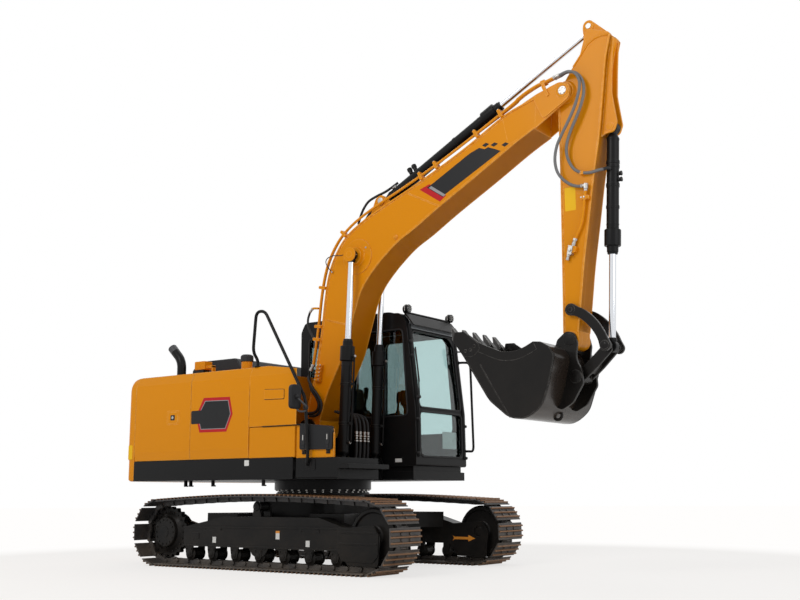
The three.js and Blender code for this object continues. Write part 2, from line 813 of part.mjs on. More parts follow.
add(
  "lower_side_box",
  box(FRONT_SEAM_X + 3, 585, -UPPER_HALF_WIDTH + 4, TANK_LEFT - 30, DECK_TOP + GAP, TANK_SPLIT),
  FINISH.yellow,
);

// Tool box with a cover that wraps over its top and down its outer side. The cover's hinge is
// along its rear edge, just in front of the tank.
const TOOLBOX_REAR = 592;
const STEP_PLATE_TOP = DECK_TOP - 12;
const TOOLBOX_FLOOR = STEP_PLATE_TOP + GAP;
const TOOLBOX_WALL = 26;
const LID = { rear: 650, front: 1082, low: 1225, high: 1493, bend: 1031, bendHigh: 1449, edge: 1401 };
const LID_SHEET = 18;
const TOOLBOX_SIDE = -UPPER_HALF_WIDTH + 4 + LID_SHEET + GAP;
function toolbox() {
  const drop = LID_SHEET + GAP;
  const outer = sidePlate(
    [
      [TOOLBOX_REAR, TOOLBOX_FLOOR],
      [STEP_FRONT, TOOLBOX_FLOOR],
      [STEP_FRONT, LID.edge - drop - 20, 20],
      [LID.front, LID.edge - drop],
      [LID.bend, LID.bendHigh - drop],
      [LID.rear, LID.high - drop],
      [TOOLBOX_REAR, TANK_SPLIT - 1],
    ],
    TOOLBOX_SIDE,
    TANK_LEFT - 30,
  );
  const rear = LID.rear + 12;
  const front = LID.front - 12;
  const floor = TOOLBOX_FLOOR + TOOLBOX_WALL;
  const left = TANK_LEFT - 30 - TOOLBOX_WALL;
  return cut(
    outer,
    box(rear, front, TOOLBOX_SIDE + TOOLBOX_WALL, left, floor, LID.high),
    box(rear, front, TOOLBOX_SIDE - 5, left - 100, LID.low + 30, LID.high),
  );
}
add("toolbox", toolbox(), FINISH.yellow);

function toolboxLid() {
  const low = -UPPER_HALF_WIDTH + 4;
  const top = sidePlate(
    [
      [LID.rear, LID.high - LID_SHEET],
      [LID.bend, LID.bendHigh - LID_SHEET],
      [LID.front, LID.edge - LID_SHEET],
      [LID.front, LID.edge, 20],
      [LID.bend, LID.bendHigh, 60],
      [LID.rear, LID.high],
    ],
    low,
    TANK_LEFT - 40,
  );
  const flange = sidePlate(
    [
      [LID.rear, LID.low, 20],
      [LID.front - 4, LID.low - 6, 20],
      [LID.front, LID.edge, 20],
      [LID.bend, LID.bendHigh, 60],
      [LID.rear, LID.high],
    ],
    low,
    low + LID_SHEET,
  );
  return join(top, flange);
}
add("toolbox_lid", toolboxLid(), FINISH.charcoal);
// Foot bracket and step in front of and below the tool box.
add(
  "front_step",
  join(
    box(600, STEP_FRONT + 30, -UPPER_HALF_WIDTH + 10, -DECK_HALF_WIDTH - GAP, DECK_LOW + 14, STEP_PLATE_TOP),
    box(600, STEP_FRONT + 30, -UPPER_HALF_WIDTH + 10, TANK_LEFT - 40, STEP_PLATE_TOP - 22, STEP_PLATE_TOP),
    box(STEP_FRONT + 10, STEP_FRONT + 170, -UPPER_HALF_WIDTH + 10, TANK_LEFT - 40, 1030, 1077),
    box(STEP_FRONT + 6, STEP_FRONT + 30, -UPPER_HALF_WIDTH + 10, TANK_LEFT - 40, 1030, STEP_PLATE_TOP),
  ),
  FINISH.black,
);

// Exhaust stack with its bent tip
add(
  "exhaust",
  join(
    bar([-1650, -800, HOUSING_TOP + GAP], [-1650, -800, HOUSING_TOP + 25], 85, 20),
    bentBar(
      [
        [-1650, -800, HOUSING_TOP + 10],
        [-1650, -800, 2400],
        [-1800, -800, 2530],
      ],
      48,
      90,
      12,
    ),
  ),
  FINISH.black,
);

// Handrail beside the tank, down to the step
const RAIL = 17;
const RAIL_Y = -UPPER_HALF_WIDTH - RAIL - RUN;
const RAIL_KNEE = [745, 1739];
const RAIL_FOOT = [790, 1160];
// The rail's place along X at a height between its knee and its foot.
const railAt = (z) =>
  RAIL_KNEE[0] + ((RAIL_FOOT[0] - RAIL_KNEE[0]) * (z - RAIL_KNEE[1])) / (RAIL_FOOT[1] - RAIL_KNEE[1]);
add(
  "handrail_right",
  bentBar(
    [
      [-5, -1175, HOUSING_TOP + GAP],
      [-5, -1175, HOUSING_TOP + 70],
      [0, RAIL_Y, HOUSING_TOP + 150],
      [35, RAIL_Y, 2705],
      [160, RAIL_Y, 2705],
      [RAIL_KNEE[0], RAIL_Y, RAIL_KNEE[1]],
      [RAIL_FOOT[0], RAIL_Y, RAIL_FOOT[1]],
      [770, RAIL_Y, 1075],
      [770, -UPPER_HALF_WIDTH + 10 - GAP, 1075],
    ],
    RAIL,
    50,
  ),
  FINISH.black,
);

// ---------------------------------------------------------------- cab

// Side view of the cab's outer face, moved in by a margin.
function cabProfile(inset) {
  return [
    [CAB_REAR + inset, CAB_FLOOR + inset],
    [CAB_FRONT - inset, CAB_FLOOR + inset, 30],
    [CAB_KNEE[0] - inset, CAB_KNEE[1], 60],
    [CAB_BROW[0] - inset, CAB_BROW[1], 60],
    [880 - inset, CAB_ROOF - 18 - inset, 90],
    [450, CAB_ROOF - inset, 200],
    [CAB_REAR + 60 + inset, CAB_ROOF - inset, 90],
    [CAB_REAR + inset, CAB_ROOF - 120 - inset, 80],
  ];
}

// The front face stands nearly upright to its knee and leans back above it.
const CAB_KNEE = [CAB_FRONT - 12, 1700];
const CAB_BROW = [965, 2690];
function cabFrontAt(z) {
  const [low, high] = z < CAB_KNEE[1] ? [[CAB_FRONT, CAB_FLOOR], CAB_KNEE] : [CAB_KNEE, CAB_BROW];
  return low[0] + ((high[0] - low[0]) * (z - low[1])) / (high[1] - low[1]);
}

const FRONT_WINDOW = [CAB_RIGHT + 85, CAB_LEFT - 85];
const WINDOW_SPLIT = 1712;
const DOOR = { rear: -150, front: 985, low: CAB_FLOOR + 40 };
const DOOR_HINGE = [DOOR.rear + 4, CAB_LEFT + 24];
const KNUCKLE_HEIGHTS = [1350, 2450];
const KNUCKLE = 14;

// The door's outline, moved in by a margin.
function doorOutline(inset) {
  return [
    [DOOR.rear + inset, DOOR.low + inset, 60],
    [DOOR.front + 50 - inset, DOOR.low + inset, 60],
    [DOOR.front + 35 - inset, 1720, 60],
    [900 - inset, 2640, 60],
    [830 - inset, 2735 - inset, 70],
    [DOOR.rear + inset, 2735 - inset, 70],
  ];
}

const windowYZ = (low, high, inset) => [
  [FRONT_WINDOW[0] + inset, low + inset, 50],
  [FRONT_WINDOW[1] - inset, low + inset, 50],
  [FRONT_WINDOW[1] - inset, high - inset, 50],
  [FRONT_WINDOW[0] + inset, high - inset, 50],
];

const sideWindow = (x0, x1, z0, z1, inset) => [
  [x0 + inset, z0 + inset, 50],
  [x1 - inset, z0 + inset, 50],
  [x1 - 70 - inset, z1 - inset, 50],
  [x0 + inset, z1 - inset, 50],
];
const RIGHT_WINDOWS = [
  [-470, 130, 1640, 2620],
  [200, 985, 1640, 2620],
];

function cabShell() {
  const outer = sidePlate(cabProfile(0), CAB_RIGHT, CAB_LEFT, 4);
  const inner = sidePlate(cabProfile(CAB_WALL), CAB_RIGHT + CAB_WALL, CAB_LEFT - CAB_WALL, 4);
  const openings = [
    crossPlate(windowYZ(WINDOW_SPLIT + 22, 2610, 0), 700, CAB_FRONT + 50),
    crossPlate(windowYZ(1190, WINDOW_SPLIT - 22, 0), 950, CAB_FRONT + 50),
    crossPlate(windowYZ(1700, 2560, 0), CAB_REAR - 50, CAB_REAR + 150),
    planPlate(
      [
        [80, CAB_RIGHT + 200, 60],
        [700, CAB_RIGHT + 200, 60],
        [700, CAB_LEFT - 200, 60],
        [80, CAB_LEFT - 200, 60],
      ],
      CAB_ROOF - 150,
      CAB_ROOF + 50,
    ),
    sidePlate(doorOutline(0), CAB_LEFT - CAB_WALL - 20, CAB_LEFT + 20),
    ...RIGHT_WINDOWS.map((w) => sidePlate(sideWindow(...w, 0), CAB_RIGHT - 20, CAB_RIGHT + CAB_WALL + 20)),
    sidePlate(sideWindow(-520, DOOR.rear - 70, 1640, 2620, 0), CAB_LEFT - CAB_WALL - 20, CAB_LEFT + 20),
  ];
  const lamps = [CAB_RIGHT + 110, CAB_LEFT - 30].map((y) =>
    join(
      box(880, 905, y - 10, y + 10, CAB_ROOF - 80, CAB_ROOF + 40),
      bar([870, y, CAB_ROOF + 35], [930, y, CAB_ROOF + 35], 46, 20),
    ),
  );
  const fixedKnuckles = KNUCKLE_HEIGHTS.map((z) =>
    join(
      bar([...DOOR_HINGE, z - 90], [...DOOR_HINGE, z - 50 - GAP], KNUCKLE, 12),
      box(DOOR_HINGE[0] - 60, DOOR_HINGE[0], CAB_LEFT - 4, CAB_LEFT + 24, z - 90, z - 50 - GAP),
    ),
  );
  const base = box(CAB_REAR + 60, CAB_FRONT - 60, CAB_RIGHT + 30, CAB_LEFT - 30, CAB_FLOOR - 60 + GAP, CAB_FLOOR + 5);
  return join(cut(outer, inner, ...openings), base, lamps, fixedKnuckles);
}
add("cab_shell", cabShell(), FINISH.black);

// Panes: each fills its opening and lies in the middle of the wall.
const paneDepth = CAB_WALL / 2;
const frontSheet = cut(
  sidePlate(cabProfile(paneDepth), CAB_RIGHT, CAB_LEFT, 4),
  sidePlate(cabProfile(paneDepth + GLASS), CAB_RIGHT - 5, CAB_LEFT + 5, 4),
);
function pane(name, prism) {
  add(name, frontSheet.intersect(prism), FINISH.glass);
}
pane("windshield_upper", crossPlate(windowYZ(WINDOW_SPLIT + 22, 2610, GAP), 700, CAB_FRONT + 50));
pane("windshield_lower", crossPlate(windowYZ(1190, WINDOW_SPLIT - 22, GAP), 950, CAB_FRONT + 50));
pane("rear_window", crossPlate(windowYZ(1700, 2560, GAP), CAB_REAR - 50, CAB_REAR + 150));
pane(
  "roof_window",
  planPlate(
    [
      [80 + GAP, CAB_RIGHT + 200 + GAP, 60],
      [700 - GAP, CAB_RIGHT + 200 + GAP, 60],
      [700 - GAP, CAB_LEFT - 200 - GAP, 60],
      [80 + GAP, CAB_LEFT - 200 - GAP, 60],
    ],
    CAB_ROOF - 150,
    CAB_ROOF + 50,
  ),
);
const rightPane = CAB_RIGHT + paneDepth;
const leftPane = CAB_LEFT - paneDepth;
add(
  "right_window_rear",
  sidePlate(sideWindow(...RIGHT_WINDOWS[0], GAP), rightPane, rightPane + GLASS),
  FINISH.glass,
);
add(
  "right_window_front",
  sidePlate(sideWindow(...RIGHT_WINDOWS[1], GAP), rightPane, rightPane + GLASS),
  FINISH.glass,
);
add(
  "left_rear_window",
  sidePlate(sideWindow(-520, DOOR.rear - 70, 1640, 2620, GAP), leftPane - GLASS, leftPane),
  FINISH.glass,
);

const doorWindow = (inset) => [
  [DOOR.rear + 90 + inset, 1480 + inset, 60],
  [DOOR.front - 50 - inset, 1480 + inset, 60],
  [DOOR.front - 60 - inset, 1700, 60],
  [845 - inset, 2560, 60],
  [780 - inset, 2645 - inset, 60],
  [DOOR.rear + 90 + inset, 2645 - inset, 60],
];
function cabDoor() {
  const panel = sidePlate(doorOutline(RUN), CAB_LEFT - 42, CAB_LEFT);
  const knuckles = KNUCKLE_HEIGHTS.map((z) =>
    join(
      bar([...DOOR_HINGE, z - 50], [...DOOR_HINGE, z + 50], KNUCKLE, 12),
      box(DOOR_HINGE[0], DOOR_HINGE[0] + 60, CAB_LEFT - 4, CAB_LEFT + 24, z - 50, z + 50),
    ),
  );
  return cut(join(panel, knuckles), sidePlate(doorWindow(0), CAB_LEFT - 60, CAB_LEFT + 20));
}
add("cab_door", cabDoor(), FINISH.black);
add("cab_door_glass", sidePlate(doorWindow(GAP), CAB_LEFT - 28, CAB_LEFT - 28 + GLASS), FINISH.glass);

// Seat: pedestal, cushion, back and headrest
const SEAT_Y = (CAB_RIGHT + CAB_LEFT) / 2;
const FLOOR_TOP = CAB_FLOOR + CAB_WALL + GAP;
add(
  "seat_cushion",
  sidePlate(
    [
      [-180, FLOOR_TOP + 260 + GAP, 30],
      [280, FLOOR_TOP + 260 + GAP, 40],
      [300, FLOOR_TOP + 370, 50],
      [-180, FLOOR_TOP + 360, 30],
    ],
    SEAT_Y - 245,
    SEAT_Y + 245,
  ),
  FINISH.seat,
);
add(
  "seat_back",
  join(
    sidePlate(
      [
        [-185, FLOOR_TOP + 360 + GAP],
        [-90, FLOOR_TOP + 362 + GAP],
        [-190, FLOOR_TOP + 940, 40],
        [-300, FLOOR_TOP + 940, 40],
      ],
      SEAT_Y - 225,
      SEAT_Y + 225,
    ),
    box(-270, -230, SEAT_Y - 90, SEAT_Y + 90, FLOOR_TOP + 930, FLOOR_TOP + 1010),
    sidePlate(
      [
        [-300, FLOOR_TOP + 990, 30],
        [-215, FLOOR_TOP + 990, 30],
        [-225, FLOOR_TOP + 1170, 30],
        [-310, FLOOR_TOP + 1170, 30],
      ],
      SEAT_Y - 130,
      SEAT_Y + 130,
    ),
  ),
  FINISH.seat,
);
function sideConsole(side) {
  const near = SEAT_Y + side * 260;
  const far = SEAT_Y + side * 400;
  const x = 230;
  return join(
    sidePlate(
      [
        [-200, FLOOR_TOP, 20],
        [200, FLOOR_TOP, 20],
        [290, FLOOR_TOP + 560, 30],
        [250, FLOOR_TOP + 610, 30],
        [-180, FLOOR_TOP + 560, 40],
      ],
      Math.min(near, far),
      Math.max(near, far),
    ),
    bar([x, SEAT_Y + side * 330, FLOOR_TOP + 560], [x + 20, SEAT_Y + side * 325, FLOOR_TOP + 740], 14, 10),
    bar([x + 19, SEAT_Y + side * 325, FLOOR_TOP + 735], [x + 28, SEAT_Y + side * 322, FLOOR_TOP + 850], 26, 12),
  );
}
add(
  "seat_base",
  join(
    box(-160, 220, SEAT_Y - 265, SEAT_Y + 265, FLOOR_TOP, FLOOR_TOP + 220),
    box(-200, 260, SEAT_Y - 240, SEAT_Y + 240, FLOOR_TOP + 215, FLOOR_TOP + 260),
    sideConsole(1),
    sideConsole(-1),
  ),
  FINISH.charcoal,
);
// Travel pedals with their long levers
add(
  "travel_levers",
  join(
    box(690, 790, SEAT_Y - 190, SEAT_Y + 190, FLOOR_TOP, FLOOR_TOP + 60),
    ...[-1, 1].map((side) =>
      join(
        bentBar(
          [
            [740, SEAT_Y + side * 60, FLOOR_TOP + 40],
            [700, SEAT_Y + side * 70, FLOOR_TOP + 480],
            [560, SEAT_Y + side * 80, FLOOR_TOP + 760],
          ],
          12,
          80,
        ),
        box(740, 900, SEAT_Y + side * 125 - 55, SEAT_Y + side * 125 + 55, FLOOR_TOP + 40, FLOOR_TOP + 58),
      ),
    ),
  ),
  FINISH.black,
);
// Handrail at the door's front post
const GRAB_RAIL = 14;
add(
  "cab_handrail",
  bentBar(
    [
      [cabFrontAt(1270 - GRAB_RAIL) + GAP, CAB_LEFT - 30, 1270],
      [CAB_FRONT + 50, CAB_LEFT - 30, 1270],
      [CAB_FRONT + 60, CAB_LEFT + 70, 1270],
      [CAB_FRONT + 30, CAB_LEFT + 70, 2320],
      [CAB_FRONT, CAB_LEFT - 30, 2320],
      [cabFrontAt(2320 - GRAB_RAIL) + GAP, CAB_LEFT - 30, 2320],
    ],
    GRAB_RAIL,
    60,
  ),
  FINISH.black,
);

const MIRROR_Y = 1370; // outboard of the machine's sides
const MIRROR_ARM = 10;
const MIRROR_CLAMP = 1640; // height of the right mirror's arm on the handrail
function mirror(x, y, z, armPoints) {
  return join(
    bentBar(armPoints, MIRROR_ARM, 40),
    sidePlate(
      [
        [x - 25, z - 125, 20],
        [x + 15, z - 125, 20],
        [x + 30, z + 115, 30],
        [x - 25, z + 125, 30],
      ],
      y - 75,
      y + 75,
    ),
  );
}
add(
  "mirror_right",
  mirror(700, -MIRROR_Y, 1750, [
    [700, -MIRROR_Y, 1700],
    [railAt(MIRROR_CLAMP), -1330, MIRROR_CLAMP],
    [railAt(MIRROR_CLAMP), RAIL_Y - RAIL - GAP, MIRROR_CLAMP],
  ]),
  FINISH.charcoal,
);
add(
  "mirror_left",
  mirror(1175, MIRROR_Y, 2460, [
    [1175, MIRROR_Y, 2450],
    [1130, MIRROR_Y - 60, 2450],
    [1120, CAB_LEFT - 60, 2450],
    [cabFrontAt(2450 - MIRROR_ARM) + GAP, CAB_LEFT - 60, 2450],
  ]),
  FINISH.charcoal,
);
// ---------------------------------------------------------------- boom

const ARM_PIN = plus(BOOM_FOOT, polar(BOOM_LENGTH, BOOM_LINE_DEG));
const BUCKET_PIN = plus(ARM_PIN, polar(ARM_LENGTH, ARM_LINE_DEG));
const BOOM_HEAD_PIN = [705, 3385];
const ARM_CYLINDER_BASE = [960, 4010];
const ARM_EAR_PIN = [ARM_PIN[0] + 260, ARM_PIN[1] + 650];
const BUCKET_CYLINDER_BASE = [ARM_PIN[0] + 438, ARM_PIN[1] - 433];
const FORK_PLATE = 32;

function boom() {
  const [fx, fz] = BOOM_FOOT;
  const [ax, az] = ARM_PIN;
  const body = sidePlate(
    [
      [fx - 75, fz - 60, 90],
      [fx + 85, fz - 60, 90],
      [fx + 233, fz + 350, 200],
      [fx + 400, fz + 666, 200],
      [fx + 560, fz + 1051, 200],
      [fx + 660, fz + 1365, 260],
      [fx + 850, fz + 1695, 300],
      [fx + 1217, fz + 1984, 300],
      [ax - 330, az - 325],
      [ax - 305, az + 5],
      [ax - 700, az - 120],
      [ax - 1508, az - 524],
      [fx + 980, fz + 2408, 200],
      [fx + 640, fz + 2265, 300],
      [fx + 330, fz + 2010, 300],
      [fx + 170, fz + 1400, 300],
      [fx + 60, fz + 589, 200],
      [fx - 61, fz + 136, 100],
    ],
    BOOM_Y - BOOM_HALF,
    BOOM_Y + BOOM_HALF,
  );
  const parts = [body];
  // fork that holds the arm
  const fork = [
    [ax - 640, az - 95],
    [ax - 560, az - 455, 30],
    [ax - 350, az - 330, 60],
    [ax + 70, az - 90, 90],
    [ax + 95, az + 45, 90],
    [ax - 30, az + 105, 90],
    [ax - 440, az + 5, 60],
  ];
  for (const side of [-1, 1]) {
    const outer = BOOM_Y + side * (BOOM_HALF + 6);
    const inner = BOOM_Y + side * (BOOM_HALF + 6 - FORK_PLATE);
    parts.push(sidePlate(fork, Math.min(outer, inner), Math.max(outer, inner)));
    // lugs for the arm cylinder's foot
    const lug = BOOM_Y + side * (52 + RUN);
    const lugOuter = lug + side * 30;
    parts.push(
      sidePlate(
        [
          [760, 3740],
          [1180, 3900],
          [1040, 4030, 50],
          [ARM_CYLINDER_BASE[0] + 10, ARM_CYLINDER_BASE[1] + 70, 60],
          [ARM_CYLINDER_BASE[0] - 70, ARM_CYLINDER_BASE[1] + 40, 60],
        ],
        Math.min(lug, lugOuter),
        Math.max(lug, lugOuter),
      ),
    );
    // boss that faces a boom cylinder's rod eye
    const boss = BOOM_Y + side * (BOOM_CYLINDER_SIDE - 38 - RUN);
    const root = BOOM_Y + side * (BOOM_HALF - 5);
    parts.push(across(BOOM_HEAD_PIN, Math.min(boss, root), Math.max(boss, root), 92, 24));
  }
  parts.push(across(ARM_PIN, BOOM_Y - BOOM_HALF - 18, BOOM_Y + BOOM_HALF + 18, PIN + 4));
  parts.push(across(ARM_CYLINDER_BASE, BOOM_Y - 100, BOOM_Y + 100, PIN - 4));
  parts.push(across(BOOM_FOOT, BOOM_Y - BOOM_HALF, BOOM_Y + BOOM_HALF, BOSS + 8));
  const footHole = bore(BOOM_FOOT, BOOM_Y - BOOM_HALF, BOOM_Y + BOOM_HALF, PIN + 6);
  return cut(join(parts), footHole);
}
add("boom", boom(), FINISH.yellow);

// ---------------------------------------------------------------- arm

const LINK_PIVOT = [BUCKET_PIN[0] + 26, BUCKET_PIN[1] + 288];
const LINK_END = [BUCKET_PIN[0] + 367, BUCKET_PIN[1] - 82];
const BUCKET_LINK_PIN = [BUCKET_PIN[0] + 58, BUCKET_PIN[1] - 359];
const ARM_BOSS_HALF = BOOM_HALF + 6 - FORK_PLATE - RUN;

function arm() {
  const [ax, az] = ARM_PIN;
  const [bx, bz] = BUCKET_PIN;
  const body = sidePlate(
    [
      [bx - 80, bz - 30, 60],
      [bx + 80, bz - 40, 60],
      [bx + 84, bz + 80],
      [bx + 168, bz + 740],
      [bx + 303, bz + 1580],
      [ax + 336, az - 591],
      [ax + 415, az + 13],
      [ax + 442, az + 258, 100],
      [ax + 500, az + 490],
      [ax + 480, az + 525],
      [ax + 250, az + 620],
      [ax + 165, az + 347, 60],
      [ax + 67, az + 223],
      [ax - 10, az + 113, 60],
      [ax - 95, az + 60, 60],
      [ax - 85, az - 152, 60],
      [bx - 68, bz + 499],
    ],
    BOOM_Y - ARM_HALF,
    BOOM_Y + ARM_HALF,
  );
  const parts = [body];
  const slot = [];
  for (const side of [-1, 1]) {
    // ears for the arm cylinder's rod eye
    const inner = BOOM_Y + side * (48 + RUN);
    const outer = inner + side * 34;
    parts.push(
      sidePlate(
        [
          [ax + 130, az + 300],
          [ax + 480, az + 500],
          [ARM_EAR_PIN[0] + 60, ARM_EAR_PIN[1] + 30, 60],
          [ARM_EAR_PIN[0] + 5, ARM_EAR_PIN[1] + 72, 60],
          [ARM_EAR_PIN[0] - 68, ARM_EAR_PIN[1] + 20, 60],
          [ARM_EAR_PIN[0] - 62, ARM_EAR_PIN[1] - 130, 60],
        ],
        Math.min(inner, outer),
        Math.max(inner, outer),
      ),
    );
    parts.push(across(ARM_EAR_PIN, Math.min(outer, outer + side * 12), Math.max(outer, outer + side * 12), 36, 20));
    // ears for the bucket cylinder's foot
    const low = BOOM_Y + side * (46 + RUN);
    const high = low + side * 26;
    parts.push(
      sidePlate(
        [
          [ax + 300, az - 700],
          [ax + 345, az - 515, 40],
          [ax + 390, az - 500, 30],
          [ax + 480, az - 490, 60],
          [ax + 515, az - 400, 60],
          [ax + 483, az - 190, 100],
          [ax + 470, az - 90, 100],
          [ax + 495, az + 340],
          [ax + 400, az + 340],
        ],
        Math.min(low, high),
        Math.max(low, high),
      ),
    );
  }
  parts.push(across(BUCKET_CYLINDER_BASE, BOOM_Y - 88, BOOM_Y + 88, PIN - 6));
  parts.push(across(ARM_PIN, BOOM_Y - ARM_BOSS_HALF, BOOM_Y + ARM_BOSS_HALF, BOSS));
  parts.push(across(BUCKET_PIN, BOOM_Y - ARM_HALF, BOOM_Y + ARM_HALF, 84));
  const linkPin = ARM_HALF + RUN + 34;
  parts.push(across(LINK_PIVOT, BOOM_Y - linkPin, BOOM_Y + linkPin, PIN - 8));
  // room for the arm cylinder's rod and eye between its ears
  slot.push(
    sidePlate(
      [
        [ax - 200, az + 230],
        [ax + 120, az + 290],
        [ax + 420, az + 505],
        [ax + 400, az + 800],
        [ax - 200, az + 800],
      ],
      BOOM_Y - 48 - RUN,
      BOOM_Y + 48 + RUN,
    ),
  );
  const holes = [
    bore(ARM_PIN, BOOM_Y - ARM_BOSS_HALF, BOOM_Y + ARM_BOSS_HALF, PIN + 4),
    bore(BUCKET_PIN, BOOM_Y - ARM_HALF, BOOM_Y + ARM_HALF, PIN),
  ];
  return cut(join(parts), ...slot, ...holes);
}
add("arm", arm(), FINISH.yellow);

// ---------------------------------------------------------------- cylinders

// Barrel from its foot pin towards the rod eye's pin. reach is where the head's face lies.
function barrel(foot, eye, y, reach, footPin, half) {
  const length = Math.hypot(eye[0] - foot[0], eye[1] - foot[1]);
  const unit = [(eye[0] - foot[0]) / length, (eye[1] - foot[1]) / length];
  const at = (d) => [foot[0] + unit[0] * d, y, foot[1] + unit[1] * d];
  const body = join(
    bar(at(20), at(CYLINDER_EYE + 60), half - 4, 16),
    bar(at(CYLINDER_EYE + 46), at(reach - 230), BARREL, 16),
    bar(at(reach - 240), at(reach - 75), HEAD, 16),
    bar(at(reach - 76), at(reach), GLAND, 16),
    across(foot, y - half, y + half, CYLINDER_EYE),
  );
  return cut(
    body,
    bar(at(CYLINDER_EYE + 66), at(reach + 10), ROD + 2 * GAP, 16),
    bore(foot, y - half, y + half, footPin),
  );
}

// Rod from inside the barrel to a solid eye that carries its own pin. inner is how far from the
// foot pin its inner end lies.
function rod(foot, eye, y, inner, half, cap) {
  const span = Math.hypot(eye[0] - foot[0], eye[1] - foot[1]);
  const unit = [(eye[0] - foot[0]) / span, (eye[1] - foot[1]) / span];
  const at = (d) => [foot[0] + unit[0] * d, y, foot[1] + unit[1] * d];
  const parts = [
    bar(at(inner), at(span - 20), ROD, 16),
    across(eye, y - half, y + half, CYLINDER_EYE - 4),
  ];
  if (cap) parts.push(across(eye, Math.min(y, y + cap), Math.max(y, y + cap), 34, 20));
  return join(parts);
}

const BOOM_BARREL = 1330;
const ARM_BARREL = 1728;
const BUCKET_BARREL = 1258;
// how much of each rod lies inside its barrel
const BOOM_ROD_INSIDE = 352.379;
const ARM_ROD_INSIDE = 468.471;
const BUCKET_ROD_INSIDE = 321.88;
for (const [side, name] of [
  [1, "left"],
  [-1, "right"],
]) {
  const y = BOOM_Y + side * BOOM_CYLINDER_SIDE;
  add(
    `boom_cylinder_${name}`,
    barrel(CYLINDER_BASE, BOOM_HEAD_PIN, y, BOOM_BARREL, PIN, 38),
    FINISH.black,
  );
  add(
    `boom_rod_${name}`,
    rod(CYLINDER_BASE, BOOM_HEAD_PIN, y, BOOM_BARREL - BOOM_ROD_INSIDE, 36, side * 52),
    FINISH.chrome,
  );
}
add(
  "arm_cylinder",
  barrel(ARM_CYLINDER_BASE, ARM_EAR_PIN, BOOM_Y, ARM_BARREL, PIN - 4, 50),
  FINISH.black,
);
add(
  "arm_rod",
  rod(ARM_CYLINDER_BASE, ARM_EAR_PIN, BOOM_Y, ARM_BARREL - ARM_ROD_INSIDE, 47, 0),
  FINISH.chrome,
);
add(
  "bucket_cylinder",
  barrel(BUCKET_CYLINDER_BASE, LINK_END, BOOM_Y, BUCKET_BARREL, PIN - 6, 44),
  FINISH.black,
);
add(
  "bucket_rod",
  rod(BUCKET_CYLINDER_BASE, LINK_END, BOOM_Y, BUCKET_BARREL - BUCKET_ROD_INSIDE, 38, 0),
  FINISH.chrome,
);

// ---------------------------------------------------------------- bucket links

const LINK_INNER = ARM_HALF + RUN;
const LINK_PLATE = 34;
function sideLink(side) {
  const [px, pz] = LINK_PIVOT;
  const [ex, ez] = LINK_END;
  const low = BOOM_Y + side * LINK_INNER;
  const high = BOOM_Y + side * (LINK_INNER + LINK_PLATE);
  const plate = sidePlate(
    [
      [px - 10, pz + 62, 50],
      [px + 140, pz + 20, 160],
      [px + 290, pz - 120, 160],
      [ex + 52, ez + 70, 80],
      [ex + 58, ez - 45, 50],
      [ex - 50, ez - 58, 50],
      [ex - 62, ez + 30, 60],
      [px + 180, pz - 130, 160],
      [px + 60, pz - 62, 100],
      [px - 36, pz - 38, 36],
      [px - 56, pz + 20, 50],
    ],
    Math.min(low, high),
    Math.max(low, high),
  );
  const boss = BOOM_Y + side * (44 + RUN + 34 + RUN);
  const stub = across(LINK_END, Math.min(boss, high), Math.max(boss, high), 40, 20);
  const hole = bore(LINK_PIVOT, Math.min(low, high), Math.max(low, high), PIN - 8);
  return cut(join(plate, stub), hole);
}
add("side_link_left", sideLink(1), FINISH.black);
add("side_link_right", sideLink(-1), FINISH.black);

function hLink() {
  const parts = [];
  const [ex, ez] = LINK_END;
  const [px, pz] = BUCKET_LINK_PIN;
  const length = Math.hypot(px - ex, pz - ez);
  const along = [(px - ex) / length, (pz - ez) / length];
  const normal = [-along[1], along[0]];
  const at = (d, n) => [ex + along[0] * d + normal[0] * n, ez + along[1] * d + normal[1] * n];
  for (const side of [-1, 1]) {
    const low = BOOM_Y + side * (44 + RUN);
    const high = low + side * 34;
    parts.push(
      sidePlate(
        [
          [...at(-20, -52), 50],
          [...at(-20, 52), 50],
          [...at(length * 0.5, 62), 80],
          [...at(length + 20, 55), 50],
          [...at(length + 20, -55), 50],
          [...at(length * 0.5, -50), 80],
        ],
        Math.min(low, high),
        Math.max(low, high),
      ),
    );
  }
  parts.push(
    sidePlate(
      [at(length - 190, -40), at(length - 190, 40), at(length - 90, 40), at(length - 90, -40)],
      BOOM_Y - 60,
      BOOM_Y + 60,
    ),
    across(BUCKET_LINK_PIN, BOOM_Y - 84, BOOM_Y + 84, 60),
  );
  const body = join(parts);
  return cut(body, bore(BUCKET_LINK_PIN, BOOM_Y - 90, BOOM_Y + 90, PIN - 6));
}
add("h_link", hLink(), FINISH.black);

// ---------------------------------------------------------------- bucket

